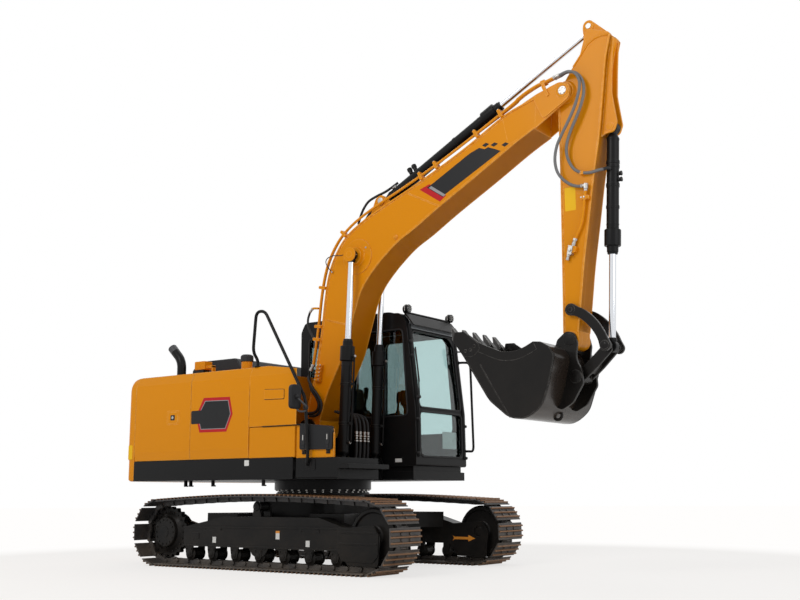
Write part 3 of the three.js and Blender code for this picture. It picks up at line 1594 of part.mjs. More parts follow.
const BUCKET_HALF = 500;
const BUCKET_SHELL = 18;
function bucket() {
  const [bx, bz] = BUCKET_PIN;
  // outer face of the wrapper plate, from the lip round the floor to the top of the back
  const outer = [
    [bx - 1110, bz + 40],
    [bx - 960, bz - 173, 200],
    [bx - 703, bz - 573, 300],
    [bx - 481, bz - 752, 250],
    [bx - 300, bz - 762, 250],
    [bx - 130, bz - 650, 250],
    [bx - 62, bz - 460, 200],
    [bx - 20, bz - 300, 150],
    [bx + 8, bz - 180, 90],
    [bx - 40, bz - 100, 60],
    [bx - 138, bz - 45],
  ];
  const rim = [
    [bx - 212, bz - 38, 60],
    [bx - 316, bz - 85, 80],
    [bx - 414, bz - 114, 200],
    [bx - 568, bz - 102, 200],
    [bx - 811, bz + 4, 100],
    [bx - 964, bz + 115, 30],
    [bx - 1084, bz + 128, 30],
  ];
  const side = [...outer, ...rim];
  const full = sidePlate(side, BOOM_Y - BUCKET_HALF, BOOM_Y + BUCKET_HALF);
  const innerFace = [
    [bx - 1130, bz + 100],
    [bx - 1092, bz + 52],
    [bx - 944, bz - 160, 200],
    [bx - 690, bz - 555, 300],
    [bx - 478, bz - 732, 250],
    [bx - 308, bz - 740, 250],
    [bx - 148, bz - 635, 250],
    [bx - 82, bz - 452, 200],
    [bx - 40, bz - 292, 150],
    [bx - 14, bz - 182, 90],
    [bx - 58, bz - 112, 60],
    [bx - 150, bz - 60],
    [bx - 150, bz + 300],
    [bx - 1130, bz + 300],
  ];
  const hollow = sidePlate(
    innerFace,
    BOOM_Y - BUCKET_HALF + BUCKET_SHELL + 8,
    BOOM_Y + BUCKET_HALF - BUCKET_SHELL - 8,
  );
  const parts = [cut(full, hollow)];
  // teeth along the lip
  const lip = [bx - 1100, bz + 46];
  for (let i = 0; i < 5; i += 1) {
    const y = BOOM_Y - 400 + i * 200;
    parts.push(
      sidePlate(
        [
          [lip[0] + 70, lip[1] - 130],
          [lip[0] + 120, lip[1] - 95],
          [lip[0] + 55, lip[1] + 10],
          [lip[0] - 60, lip[1] + 150],
          [lip[0] - 80, lip[1] + 140],
          [lip[0] - 28, lip[1] - 12],
        ],
        y - 38,
        y + 38,
      ),
    );
  }
  // ears on the back that hold the arm's tip and the link
  for (const s of [-1, 1]) {
    const low = BOOM_Y + s * (ARM_HALF + RUN);
    const high = low + s * 32;
    parts.push(
      sidePlate(
        [
          [bx - 150, bz - 60],
          [bx - 130, bz + 5, 60],
          [bx - 30, bz + 84, 70],
          [bx + 60, bz + 60, 60],
          [bx + 84, bz - 40, 60],
          [bx + 70, bz - 190, 100],
          [BUCKET_LINK_PIN[0] + 66, BUCKET_LINK_PIN[1] + 60, 60],
          [BUCKET_LINK_PIN[0] + 75, BUCKET_LINK_PIN[1] - 70, 60],
          [BUCKET_LINK_PIN[0] - 40, BUCKET_LINK_PIN[1] - 250, 100],
          [bx - 110, bz - 655, 30],
          [bx - 170, bz - 640],
          [bx - 70, bz - 420],
        ],
        Math.min(low, high),
        Math.max(low, high),
      ),
    );
  }
  const pinHalf = ARM_HALF + RUN + 32 + 14;
  parts.push(across(BUCKET_PIN, BOOM_Y - pinHalf, BOOM_Y + pinHalf, PIN));
  parts.push(across(BUCKET_LINK_PIN, BOOM_Y - pinHalf, BOOM_Y + pinHalf, PIN - 6));
  return join(parts);
}
add("bucket", bucket(), FINISH.black);

// ---------------------------------------------------------------- place in the finished frame

const bounds = new THREE.Box3().setFromObject(machine);
machine.position.x = -(bounds.min.x + bounds.max.x) / 2;

export default machine;
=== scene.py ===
# %% [markdown]
# # A crawler excavator, finished in Blender
# The CAD model is a fixed frame: 54 plain solids on 20 moving bodies. This lesson loads it, builds the
# finished pieces round it in the same place and units, and gives each one a procedural finish. Nothing
# of the frame is moved. Every new piece but the hoses that cross a joint rides on one of its bodies, so
# it moves as the CAD model does.

# %% Load the frame
import json
import math

import bmesh
import bpy
from mathutils import Matrix, Vector

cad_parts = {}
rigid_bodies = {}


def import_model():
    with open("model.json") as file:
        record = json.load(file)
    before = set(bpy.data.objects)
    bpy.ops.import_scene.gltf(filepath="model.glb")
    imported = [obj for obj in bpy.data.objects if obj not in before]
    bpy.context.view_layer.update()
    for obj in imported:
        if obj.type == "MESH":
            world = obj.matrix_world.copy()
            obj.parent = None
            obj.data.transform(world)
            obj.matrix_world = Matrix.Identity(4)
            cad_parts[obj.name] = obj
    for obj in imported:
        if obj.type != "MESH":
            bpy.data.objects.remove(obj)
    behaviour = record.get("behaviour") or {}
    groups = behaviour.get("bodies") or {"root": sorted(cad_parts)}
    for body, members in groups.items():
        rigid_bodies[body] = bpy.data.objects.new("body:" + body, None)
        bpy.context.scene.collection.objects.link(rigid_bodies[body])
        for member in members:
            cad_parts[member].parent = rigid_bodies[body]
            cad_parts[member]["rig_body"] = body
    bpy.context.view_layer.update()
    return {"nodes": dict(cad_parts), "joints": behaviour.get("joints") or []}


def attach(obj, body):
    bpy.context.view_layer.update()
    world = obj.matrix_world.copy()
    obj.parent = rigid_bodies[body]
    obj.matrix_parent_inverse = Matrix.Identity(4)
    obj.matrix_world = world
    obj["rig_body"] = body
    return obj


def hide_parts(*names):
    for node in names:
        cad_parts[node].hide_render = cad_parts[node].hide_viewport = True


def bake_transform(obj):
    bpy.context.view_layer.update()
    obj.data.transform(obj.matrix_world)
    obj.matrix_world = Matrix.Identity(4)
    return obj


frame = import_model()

# %% [markdown]
# ## Where things are
# A machine is drawn in millimetres from a datum that its maker can measure to. Here that is the middle
# of the tracks on the ground. The swing joint stands 65 mm behind that datum, so its pivot gives the
# shift between the drawing and the frame. Most pins below are read from the frame's own joints or set
# off from them; the boom's head pin is given.

# %% The drawing's datum
MM = 0.001
JOINTS = {j["name"]: j for j in frame["joints"]}
SWING_BACK = 65
SHIFT = JOINTS["swing"]["pos_m"][0] + SWING_BACK * MM


def at(x, y, z):
    """A point of the drawing, in millimetres, as a point of the frame, in metres."""
    return Vector((x * MM + SHIFT, y * MM, z * MM))


def pivot(joint):
    """The drawing's X and Z of a hinge that turns about an axis along Y."""
    x, _, z = JOINTS[joint]["pos_m"]
    return ((x - SHIFT) / MM, z / MM)


BOOM_FOOT = pivot("boom")
ARM_PIN = pivot("arm")
BUCKET_PIN = pivot("bucket")
BOOM_CYLINDER_FOOT = pivot("boom_cylinder_pivot")
ARM_CYLINDER_FOOT = pivot("arm_cylinder_pivot")
BUCKET_CYLINDER_FOOT = pivot("bucket_cylinder_pivot")
LINK_PIVOT = pivot("side_link_pivot")
BUCKET_LINK_PIN = pivot("h_link_pivot")
ARM_EAR_PIN = (ARM_PIN[0] + 260, ARM_PIN[1] + 650)
LINK_END = (BUCKET_PIN[0] + 367, BUCKET_PIN[1] - 82)
BOOM_HEAD_PIN = (705, 3385)
BOOM_Y = -180
print("arm pin", [round(v) for v in ARM_PIN], "bucket pin", [round(v) for v in BUCKET_PIN])

# %% [markdown]
# ## Outlines and solids
# Fabricated machines are plates, bars, turned parts and bent tubes. Each of those has one helper below,
# and each helper returns a small bmesh. Drawing them in code keeps every size readable and changeable.

# %% Outlines
def rounded(points, steps=5):
    """A closed outline whose corners (a, b, radius) are rounded."""
    line = []
    for i, point in enumerate(points):
        here = Vector(point[:2])
        radius = point[2] if len(point) > 2 else 0
        if not radius:
            line.append((here.x, here.y))
            continue
        back = Vector(points[i - 1][:2]) - here
        ahead = Vector(points[(i + 1) % len(points)][:2]) - here
        half = max(back.angle(ahead) / 2, 0.05)
        reach = min(radius / math.tan(half), back.length * 0.48, ahead.length * 0.48)
        first = here + back.normalized() * reach
        last = here + ahead.normalized() * reach
        for k in range(steps + 1):
            t = k / steps
            p = first * (1 - t) ** 2 + here * 2 * t * (1 - t) + last * t * t
            line.append((p.x, p.y))
    return line


def flowing(points, steps=4):
    """An open line that runs smoothly through its points."""
    pts = [Vector(p) for p in points]
    pts = [pts[0] * 2 - pts[1], *pts, pts[-1] * 2 - pts[-2]]
    line = []
    for a, b, c, d in zip(pts, pts[1:], pts[2:], pts[3:]):
        for k in range(steps):
            t = k / steps
            p = b * 2 + (c - a) * t + (a * 2 - b * 5 + c * 4 - d) * t * t
            p = (p + (b * 3 - a - c * 3 + d) * t**3) / 2
            line.append(tuple(p))
    line.append(tuple(pts[-2]))
    return line


def inset_line(line, distance):
    """An open line moved sideways, to its left when the distance is positive."""
    moved = []
    for i, point in enumerate(line):
        ahead = Vector(line[min(i + 1, len(line) - 1)]) - Vector(line[max(i - 1, 0)])
        side = Vector((-ahead.y, ahead.x)).normalized()
        moved.append((point[0] + side.x * distance, point[1] + side.y * distance))
    return moved


PLANES = {
    "side": lambda a, b, level: at(a, level, b),
    "plan": lambda a, b, level: at(a, b, level),
    "front": lambda a, b, level: at(level, a, b),
}


def layered(outlines, plane="plan"):
    """A solid through outlines with as many points each: pairs of a level and an outline."""
    shape = bmesh.new()
    place = PLANES[plane]
    rings = [[shape.verts.new(place(a, b, level)) for a, b in line] for level, line in outlines]
    shape.faces.new(rings[0])
    shape.faces.new(rings[-1][::-1])
    for below, above in zip(rings, rings[1:]):
        for i in range(len(below)):
            j = (i + 1) % len(below)
            shape.faces.new((below[i], above[i], above[j], below[j]))
    bmesh.ops.recalc_face_normals(shape, faces=shape.faces)
    return shape


def plate(outline, low, high, plane="side"):
    """A flat plate: drawn in X and Z (side), X and Y (plan) or Y and Z (front)."""
    return layered([(level, outline) for level in sorted((low, high))], plane)


def block(x, y, z, corner=0):
    """A block between two X, two Y and two Z levels, with its upright or side corners rounded."""
    (x0, x1), (z0, z1) = x, z
    return plate(rounded([(a, b, corner) for a, b in ((x0, z0), (x1, z0), (x1, z1), (x0, z1))]), *y)


print("outline helpers ready")

# %% Turned parts and tubes
def basis(axis):
    """Two directions square to an axis and to each other."""
    axis = Vector(axis).normalized()
    side = axis.cross(Vector((0, 0, 1)) if abs(axis.z) < 0.9 else Vector((0, 1, 0))).normalized()
    return side, axis.cross(side).normalized()


def turned(start, axis, profile, sides=32, turn=0.0):
    """A turned part: pairs of the distance along its axis and the radius there, in millimetres.

    A profile whose last pair is its first makes a ring that is open through its middle.
    """
    hollow = profile[0] == profile[-1]
    shape = bmesh.new()
    origin, axis = at(*start), Vector(axis).normalized()
    side, up = basis(axis)
    rings = []
    for along, radius in profile[:-1] if hollow else profile:
        centre = origin + axis * along * MM
        if radius <= 0:
            rings.append([shape.verts.new(centre)])
            continue
        angles = [2 * math.pi * (i + turn) / sides for i in range(sides)]
        rings.append(
            [shape.verts.new(centre + (side * math.cos(a) + up * math.sin(a)) * radius * MM) for a in angles]
        )
    for ring in () if hollow else (rings[0], rings[-1]):
        if len(ring) > 1:
            shape.faces.new(ring)
    for below, above in zip(rings, rings[1:] + rings[:1] if hollow else rings[1:]):
        for i in range(sides):
            j = (i + 1) % sides
            corners = [below[i % len(below)], below[j % len(below)], above[j % len(above)], above[i % len(above)]]
            shape.faces.new(list(dict.fromkeys(corners)))
    bmesh.ops.recalc_face_normals(shape, faces=shape.faces)
    return shape


def bent(points, bend, steps=6):
    """A line in space, in millimetres, with its corners rounded."""
    pts = [Vector(p) for p in points]
    if not bend:
        return pts
    line = [pts[0]]
    for before, here, after in zip(pts, pts[1:], pts[2:]):
        back, ahead = before - here, after - here
        first = here + back.normalized() * min(bend, back.length * 0.48)
        last = here + ahead.normalized() * min(bend, ahead.length * 0.48)
        for k in range(steps + 1):
            t = k / steps
            line.append(first * (1 - t) ** 2 + here * 2 * t * (1 - t) + last * t * t)
    line.append(pts[-1])
    return line


def tube(points, radius, sides=12, bend=0, smooth=0):
    """A round bar or hose along points in millimetres. Its UV map runs round it and along it."""
    line = [Vector(p) for p in flowing(points, smooth)] if smooth else bent(points, bend)
    radii = radius if callable(radius) else lambda share: radius
    shape = bmesh.new()
    run = shape.loops.layers.uv.new("run")
    tangent = (line[1] - line[0]).normalized()
    side, _ = basis(tangent)
    rings, lengths, total = [], [], 0.0
    for i, point in enumerate(line):
        ahead = (line[min(i + 1, len(line) - 1)] - line[max(i - 1, 0)]).normalized()
        side = (side - ahead * side.dot(ahead)).normalized()
        up = ahead.cross(side)
        total += (point - line[i - 1]).length if i else 0.0
        lengths.append(total)
        size = radii(i / (len(line) - 1))
        spots = [2 * math.pi * k / sides for k in range(sides)]
        rings.append([shape.verts.new(at(*(point + (side * math.cos(a) + up * math.sin(a)) * size)))
            for a in spots])
    for i in range(len(rings) - 1):
        for k in range(sides):
            j = (k + 1) % sides
            face = shape.faces.new((rings[i][k], rings[i][j], rings[i + 1][j], rings[i + 1][k]))
            uvs = ((k, i), (k + 1, i), (k + 1, i + 1), (k, i + 1))
            for loop, (u, v) in zip(face.loops, uvs):
                loop[run].uv = (u / sides, lengths[v] * MM)
    shape.faces.new(rings[0][::-1])
    shape.faces.new(rings[-1])
    bmesh.ops.recalc_face_normals(shape, faces=shape.faces)
    return shape


print("solid helpers ready")

# %% [markdown]
# ## Effects that several finishes share
# Worn edges and painted edge highlights, dust, fine grain, cloudy colour and the braid of a hose are shader
# node groups. Each is built once, has named inputs and outputs, and only gives a colour, a mask or a height.
# The Principled BSDF stays in the finish itself, so an exporter can bake what feeds it.

# %% Shader node helpers
def feed(tree, socket, value):
    """Gives a socket another socket's output, a colour or a number."""
    if isinstance(value, bpy.types.NodeSocket):
        tree.links.new(value, socket)
    elif value is not None:
        socket.default_value = (*value, 1.0) if isinstance(value, tuple) else value


def add(tree, kind, settings=None, **inputs):
    """A node of a kind, with its settings and what feeds its inputs."""
    node = tree.nodes.new("ShaderNode" + kind)
    for name, value in (settings or {}).items():
        setattr(node, name, value)
    for label, value in inputs.items():
        feed(tree, node.inputs[label.replace("_", " ")], value)
    return node


def add_numbered(tree, kind, settings, **inputs):
    """A node whose inputs are fed by number, as in _0. Nodes such as Mix share their inputs' names."""
    node = add(tree, kind, settings)
    for label, value in inputs.items():
        feed(tree, node.inputs[int(label[1:])], value)
    return node


def maths(tree, operation, a, b=None, clamp=False):
    """A Math node's output."""
    return add_numbered(tree, "Math", {"operation": operation, "use_clamp": clamp}, _0=a, _1=b).outputs[0]


def noise(tree, place, scale, detail=3.0, rough=0.55):
    """A noise texture's height."""
    return add(tree, "TexNoise", Vector=place, Scale=scale, Detail=detail, Roughness=rough).outputs["Fac"]


def mix(tree, share, first, second):
    """A mix of two colours."""
    return add_numbered(tree, "Mix", {"data_type": "RGBA"}, _0=share, _6=first, _7=second).outputs[2]


def effect(name, build, outputs, **inputs):
    """A shader node group. build gets the tree and the inputs and gives the outputs."""
    tree = bpy.data.node_groups.new(name, "ShaderNodeTree")
    new_socket = tree.interface.new_socket
    new_socket("Place", in_out="INPUT", socket_type="NodeSocketVector")
    for label, value in inputs.items():
        kind = "NodeSocketColor" if isinstance(value, tuple) else "NodeSocketFloat"
        feed(tree, new_socket(label, in_out="INPUT", socket_type=kind), value)
    for label in outputs:
        kind = "NodeSocketColor" if label == "Colour" else "NodeSocketFloat"
        new_socket(label, in_out="OUTPUT", socket_type=kind)
    start, end = tree.nodes.new("NodeGroupInput"), tree.nodes.new("NodeGroupOutput")
    for label, socket in zip(outputs, build(tree, start.outputs)):
        feed(tree, end.inputs[label], socket)
    return tree


# %% Shader node groups
WHITE = (1.0, 1.0, 1.0)


def edge_wear(tree, given):
    """Where a rounded normal leaves the true one, an edge is near. Noise breaks the line up. The mask draws worn
    edges, and on the yellow paint a painted highlight.
    """
    bevel = add(tree, "Bevel", {"samples": 6}, Radius=given["Reach"])
    surface = add(tree, "NewGeometry")
    dot = add_numbered(tree, "VectorMath", {"operation": "DOT_PRODUCT"}, _0=bevel.outputs[0],
        _1=surface.outputs["Normal"])
    turned_away = maths(tree, "SUBTRACT", 1.0, dot.outputs["Value"], clamp=True)
    edge = maths(tree, "MULTIPLY", turned_away, 9.0, clamp=True)
    patches = maths(tree, "MULTIPLY", noise(tree, given["Place"], 22.0, 5.0, 0.7), 3.0)
    broken = maths(tree, "SUBTRACT", patches, 1.0, clamp=True)
    return (maths(tree, "MULTIPLY", maths(tree, "MULTIPLY", edge, broken), given["Amount"], clamp=True),)


def cloudy_colour(tree, given):
    """Paint is never one colour: a slow change of tint and a fine one."""
    slow = noise(tree, given["Place"], given["Scale"], 4.0)
    mask = maths(tree, "MULTIPLY", slow, given["Amount"], clamp=True)
    return mix(tree, mask, given["Colour"], given["Tint"]), slow


def fine_grain(tree, given):
    """A fine height for sprayed paint, moulded plastic and cast metal."""
    waves = maths(tree, "MULTIPLY", noise(tree, given["Place"], 9.0, 2.0), given["Coarse"])
    return (maths(tree, "ADD", noise(tree, given["Place"], given["Scale"], 2.0), waves),)


def settled_dust(tree, given):
    """Dust settles low on the machine and on what faces up."""
    height = add(tree, "SeparateXYZ", Vector=given["Place"]).outputs["Z"]
    low = maths(tree, "SUBTRACT", 1.0, maths(tree, "DIVIDE", height, given["Top"]), clamp=True)
    facing = add(tree, "SeparateXYZ", Vector=add(tree, "NewGeometry").outputs["Normal"])
    upward = maths(tree, "MULTIPLY", facing.outputs["Z"], 0.6, clamp=True)
    reach = maths(tree, "ADD", maths(tree, "MULTIPLY", low, 0.8), maths(tree, "MULTIPLY", low, upward))
    cloud = maths(tree, "MULTIPLY", noise(tree, given["Place"], 5.0, 6.0, 0.65), 2.4)
    cloud = maths(tree, "SUBTRACT", cloud, 0.6, clamp=True)
    mask = maths(tree, "MULTIPLY", maths(tree, "MULTIPLY", reach, cloud), given["Amount"], clamp=True)
    return mix(tree, mask, given["Colour"], given["Dust"]), mask


def crossed_threads(tree, given):
    """Two sets of sine waves, from a place or from a hose's own UV map."""
    split = add(tree, "SeparateXYZ", Vector=given["Place"])
    across = maths(tree, "MULTIPLY", split.outputs["X"], given["Across"])
    along = maths(tree, "MULTIPLY", split.outputs["Y"], given["Along"])
    lean = maths(tree, "MULTIPLY", along, given["Slant"])
    rising = maths(tree, "SINE", maths(tree, "ADD", across, lean))
    across_back = maths(tree, "MULTIPLY", across, given["Slant"])
    falling = maths(tree, "SINE", maths(tree, "SUBTRACT", across_back, along))
    crossed = maths(tree, "MULTIPLY", rising, falling)
    return (maths(tree, "MULTIPLY", maths(tree, "ADD", crossed, 1.0), 0.5),)


EFFECTS = {
    "wear_and_highlight": effect("edge_wear", edge_wear, ("Mask",), Reach=0.006, Amount=0.5),
    "cloudy": effect("cloudy_colour", cloudy_colour, ("Colour", "Mask"), Colour=WHITE, Tint=WHITE, Scale=2.0,
                     Amount=0.3),
    "grain": effect("fine_grain", fine_grain, ("Height",), Scale=300.0, Coarse=0.3),
    "dust": effect("settled_dust", settled_dust, ("Colour", "Mask"), Colour=WHITE, Dust=(0.32, 0.25, 0.18),
                   Top=1.0, Amount=0.3),
    "weave": effect("crossed_threads", crossed_threads, ("Height",), Across=900.0, Along=900.0, Slant=0.0),
}
print("effects:", ", ".join(sorted(t.name for t in EFFECTS.values())))

# %% [markdown]
# ## Finishes
# A finish is one material. All of them are made by the same function: a base colour, then cloudy tint,
# then dust, then a colour along the edges, which is worn edges on the dark finishes and a painted highlight
# on the yellow paint, and a grain that only moves the normal. What is the same all over a surface, such as
# a coat or a metallic value, is set on the shader's own socket.

# %% The finish maker
FINISHES = {}


def put_group(tree, name, place, **values):
    """Places one of the effects in a material, with its own values."""
    node = tree.nodes.new("ShaderNodeGroup")
    node.node_tree = EFFECTS[name]
    for label, value in {"Place": place, **values}.items():
        feed(tree, node.inputs[label], value)
    return node


def new_material(name, **sockets):
    """A material, its tree, its Principled BSDF with some sockets set, and the object's coordinates."""
    made = bpy.data.materials.new(name)
    made.use_nodes = True
    tree = made.node_tree
    shader = tree.nodes["Principled BSDF"]
    for label, value in sockets.items():
        shader.inputs[label.replace("_", " ")].default_value = value
    return made, tree, shader, add(tree, "TexCoord").outputs["Object"]


def dent(tree, shader, height, strength, distance):
    """A height that only moves the shader's normal."""
    bump = add(tree, "Bump", Strength=strength, Distance=distance, Height=height)
    feed(tree, shader.inputs["Normal"], bump.outputs[0])


def finish(name, colour, rough, slot=None, metal=0.0, coat=0.0, tint=None, cloud=(2.0, 0.5), dust=None,
           wear_and_highlight=None, grain=None, rough_change=0.0, shine=0.5):
    """A finish. dust is (top, amount), wear_and_highlight is (reach, amount, colour) along the edges: worn edges on
    the dark finishes, a painted highlight on the yellow paint. grain is (scale, strength, depth).
    """
    made, tree, shader, place = new_material(name, Roughness=rough, Metallic=metal, Coat_Weight=coat,
        Specular_IOR_Level=shine, Coat_Roughness=0.08)
    cloudy = put_group(tree, "cloudy", place, Colour=colour, Tint=tint or colour, Scale=cloud[0], Amount=cloud[1])
    shown = cloudy.outputs["Colour"]
    if dust:
        shown = put_group(tree, "dust", place, Colour=shown, Top=dust[0], Amount=dust[1]).outputs["Colour"]
    if wear_and_highlight:
        # The edge mask draws worn edges, and on the yellow paint a painted highlight.
        worn = put_group(tree, "wear_and_highlight", place, Reach=wear_and_highlight[0], Amount=wear_and_highlight[1])
        shown = mix(tree, worn.outputs["Mask"], shown, wear_and_highlight[2])
    feed(tree, shader.inputs["Base Color"], shown)
    if rough_change:
        change = maths(tree, "MULTIPLY", cloudy.outputs["Mask"], rough_change)
        feed(tree, shader.inputs["Roughness"], maths(tree, "ADD", change, rough - rough_change / 2, clamp=True))
    if grain:
        dent(tree, shader, put_group(tree, "grain", place, Scale=grain[0]).outputs["Height"], *grain[1:])
    FINISHES[name] = (made, slot or name)


# %% Paints, metals, plastics and rubber
OCHRE = (0.725, 0.264, 0.003)
# The yellow paint's pale edge colour is a painted highlight: the light that catches the flanges' edges.
finish("paint_yellow", OCHRE, 0.34, coat=0.06, tint=(0.66, 0.230, 0.003), cloud=(1.3, 0.5), dust=(1.1, 0.06),
    wear_and_highlight=(0.012, 0.85, (0.96, 0.56, 0.17)), grain=(420.0, 0.06, 0.0006), rough_change=0.08, shine=0.09)
finish("paint_black", (0.0048, 0.0049, 0.0054), 0.38, coat=0.04, tint=(0.008, 0.0078, 0.0078), cloud=(3.0, 0.6),
    dust=(0.9, 0.07), wear_and_highlight=(0.006, 0.5, (0.07, 0.068, 0.066)), grain=(260.0, 0.12, 0.001), rough_change=0.14,
    shine=0.12)
finish("paint_charcoal", (0.021, 0.0225, 0.026), 0.52, tint=(0.028, 0.029, 0.032), dust=(1.2, 0.12),
    wear_and_highlight=(0.005, 0.3, (0.08, 0.08, 0.085)), grain=(520.0, 0.35, 0.0012), shine=0.2)
finish("cab_plastic", (0.013, 0.0135, 0.015), 0.55, tint=(0.019, 0.019, 0.021), grain=(700.0, 0.4, 0.0008),
    shine=0.2)
finish("digging_black", (0.0050, 0.0047, 0.0046), 0.30, coat=0.06, tint=(0.010, 0.0085, 0.0075), cloud=(2.5, 0.8),
    dust=(2.2, 0.06), wear_and_highlight=(0.007, 0.9, (0.17, 0.16, 0.15)), grain=(180.0, 0.16, 0.0015), rough_change=0.2,
    shine=0.14)
# A warm brown copy of the digging black is a painted reflection on the bucket's rolled back.
finish("digging_warm", (0.020, 0.0135, 0.0095), 0.26, "digging_black", coat=0.12, tint=(0.012, 0.009, 0.0075),
    cloud=(1.6, 0.8), dust=(2.2, 0.06), wear_and_highlight=(0.007, 0.9, (0.17, 0.15, 0.13)), grain=(180.0, 0.16, 0.0015),
    rough_change=0.2, shine=0.3)
finish("engine_grey", (0.07, 0.073, 0.078), 0.5, metal=0.3, tint=(0.04, 0.04, 0.042), cloud=(6.0, 0.8),
    grain=(160.0, 0.3, 0.002), shine=0.35)
finish("rubber_black", (0.008, 0.008, 0.009), 0.6, tint=(0.014, 0.014, 0.015), cloud=(9.0, 0.6),
    grain=(600.0, 0.35, 0.0008), shine=0.35)
finish("chrome_rod", (0.72, 0.74, 0.77), 0.13, metal=1.0, tint=(0.62, 0.64, 0.68), cloud=(14.0, 0.4),
    grain=(900.0, 0.05, 0.0003), rough_change=0.06)
finish("bare_steel", (0.52, 0.51, 0.49), 0.36, metal=0.9, tint=(0.34, 0.33, 0.31), cloud=(20.0, 0.8),
    grain=(400.0, 0.2, 0.0008), rough_change=0.2)
finish("track_bright", (0.05, 0.049, 0.048), 0.38, "digging_black", metal=0.6, tint=(0.02, 0.019, 0.018),
    cloud=(12.0, 0.9), wear_and_highlight=(0.012, 0.95, (0.42, 0.41, 0.40)), grain=(200.0, 0.3, 0.0015))
finish("visor_grey", (0.20, 0.215, 0.225), 0.3, "cab_plastic", metal=0.3, coat=0.2, tint=(0.15, 0.16, 0.17),
    cloud=(6.0, 0.6), grain=(500.0, 0.08, 0.0003))
finish("mirror_face", (0.86, 0.88, 0.89), 0.03, metal=1.0, tint=(0.8, 0.83, 0.85), cloud=(3.0, 0.3))


def printed(name, colour, tint, coat=0.0, shine=0.5):
    """A blank label, or a band that is flatter and more even."""
    rough, cloud, strength = (0.36, 5.0, 0.08) if name.startswith("band") else (0.4, 8.0, 0.1)
    finish(name, colour, rough, "blank_label", coat=coat, tint=tint, cloud=(cloud, 0.5),
        grain=(500.0, strength, 0.0003), shine=shine)


printed("label_white", (0.74, 0.74, 0.72), (0.64, 0.64, 0.62))
printed("label_yellow", (0.86, 0.50, 0.008), (0.80, 0.44, 0.008), shine=0.15)
printed("label_orange", (0.80, 0.30, 0.03), (0.7, 0.24, 0.03))
printed("band_red", (0.50, 0.012, 0.018), (0.42, 0.010, 0.014), 0.05, 0.15)
printed("band_dark", (0.013, 0.0135, 0.015), (0.018, 0.018, 0.019), 0.05, 0.15)
printed("band_grey", (0.27, 0.27, 0.28), (0.22, 0.22, 0.23), 0.2)
print("finishes so far:", len(FINISHES))

# %% Glass, hose braid, seat cloth and track steel
def clear_finish(name, slot, colour, rough):
    """Glass: plain transmission and metallic values, and a colour that is a little deeper in places."""
    made, tree, shader, place = new_material(name, Transmission_Weight=1.0, IOR=1.46, Roughness=rough)
    deeper = tuple(c * 0.93 for c in colour)
    cloudy = put_group(tree, "cloudy", place, Colour=colour, Tint=deeper, Scale=0.8, Amount=0.8)
    feed(tree, shader.inputs["Base Color"], cloudy.outputs["Colour"])
    FINISHES[name] = (made, slot)


def threaded_finish(name, slot, colour, hollow, rough, across, along, slant, depth, on_uv, sheen=0.0):
    """Cloth or a braided hose: crossed threads darken and dent the surface between them."""
    made, tree, shader, place = new_material(name, Roughness=rough, Sheen_Weight=sheen)
    run = add(tree, "UVMap", {"uv_map": "run"}).outputs[0] if on_uv else place
    threads = put_group(tree, "weave", run, Across=across, Along=along, Slant=slant).outputs["Height"]
    cloudy = put_group(tree, "cloudy", place, Colour=colour, Tint=tuple(c * 0.75 for c in colour), Scale=6.0,
        Amount=0.6)
    feed(tree, shader.inputs["Base Color"], mix(tree, threads, hollow, cloudy.outputs["Colour"]))
    dent(tree, shader, threads, 0.6, depth)
    FINISHES[name] = (made, slot)


def track_finish():
    """Dark rolled steel whose raised bars are worn and rusty. The share of rust is the mesh's own."""
    made, tree, shader, place = new_material("track_steel", Metallic=0.45, Roughness=0.5)
    steel, rust = (
        put_group(tree, "cloudy", place, Colour=colour, Tint=tint, Scale=scale, Amount=0.9).outputs["Colour"]
        for colour, tint, scale in (((0.050, 0.051, 0.056), (0.020, 0.019, 0.019), 7.0),
                                    ((0.30, 0.135, 0.045), (0.14, 0.065, 0.030), 16.0)))
    worn = add(tree, "Attribute", {"attribute_name": "worn"})
    patches = noise(tree, place, 30.0, 5.0, 0.7)
    share = maths(tree, "MULTIPLY", worn.outputs["Fac"], maths(tree, "ADD", patches, 0.45), clamp=True)
    dusty = put_group(tree, "dust", place, Colour=mix(tree, share, steel, rust), Top=0.9, Amount=0.35)
    feed(tree, shader.inputs["Base Color"], dusty.outputs["Colour"])
    feed(tree, shader.inputs["Roughness"], maths(tree, "ADD", maths(tree, "MULTIPLY", patches, 0.3), 0.33))
    dent(tree, shader, put_group(tree, "grain", place, Scale=220.0).outputs["Height"], 0.35, 0.0015)
    FINISHES["track_steel"] = (made, "track_steel")


clear_finish("cab_glass", "cab_glass", (0.66, 0.80, 0.795), 0.015)
clear_finish("side_glass", "cab_glass", (0.22, 0.28, 0.28), 0.015)
clear_finish("lamp_glass", "lamp_glass", (0.93, 0.94, 0.94), 0.12)
threaded_finish("hose_braid", "rubber_black", (0.23, 0.235, 0.24), (0.07, 0.07, 0.072), 0.5, 2 * math.pi * 6,
    2 * math.pi * 55, 1.0, 0.0016, on_uv=True)
threaded_finish("seat_cloth", "seat_cloth", (0.035, 0.036, 0.04), (0.012, 0.012, 0.013), 0.9, 1500.0, 1500.0, 0.0,
    0.0008, on_uv=False, sheen=0.25)
track_finish()
print("finishes:", len(FINISHES))

# %% [markdown]
# ## Kits: many small parts, one mesh for each finish
# A real machine has thousands of parts, and an object for each would be slow and hard to keep. A kit
# gathers the parts of one assembly and one body, and makes one mesh for each finish. A shape can get
# a small real bevel as it goes in, because rolled, cut and welded edges are never perfectly sharp.

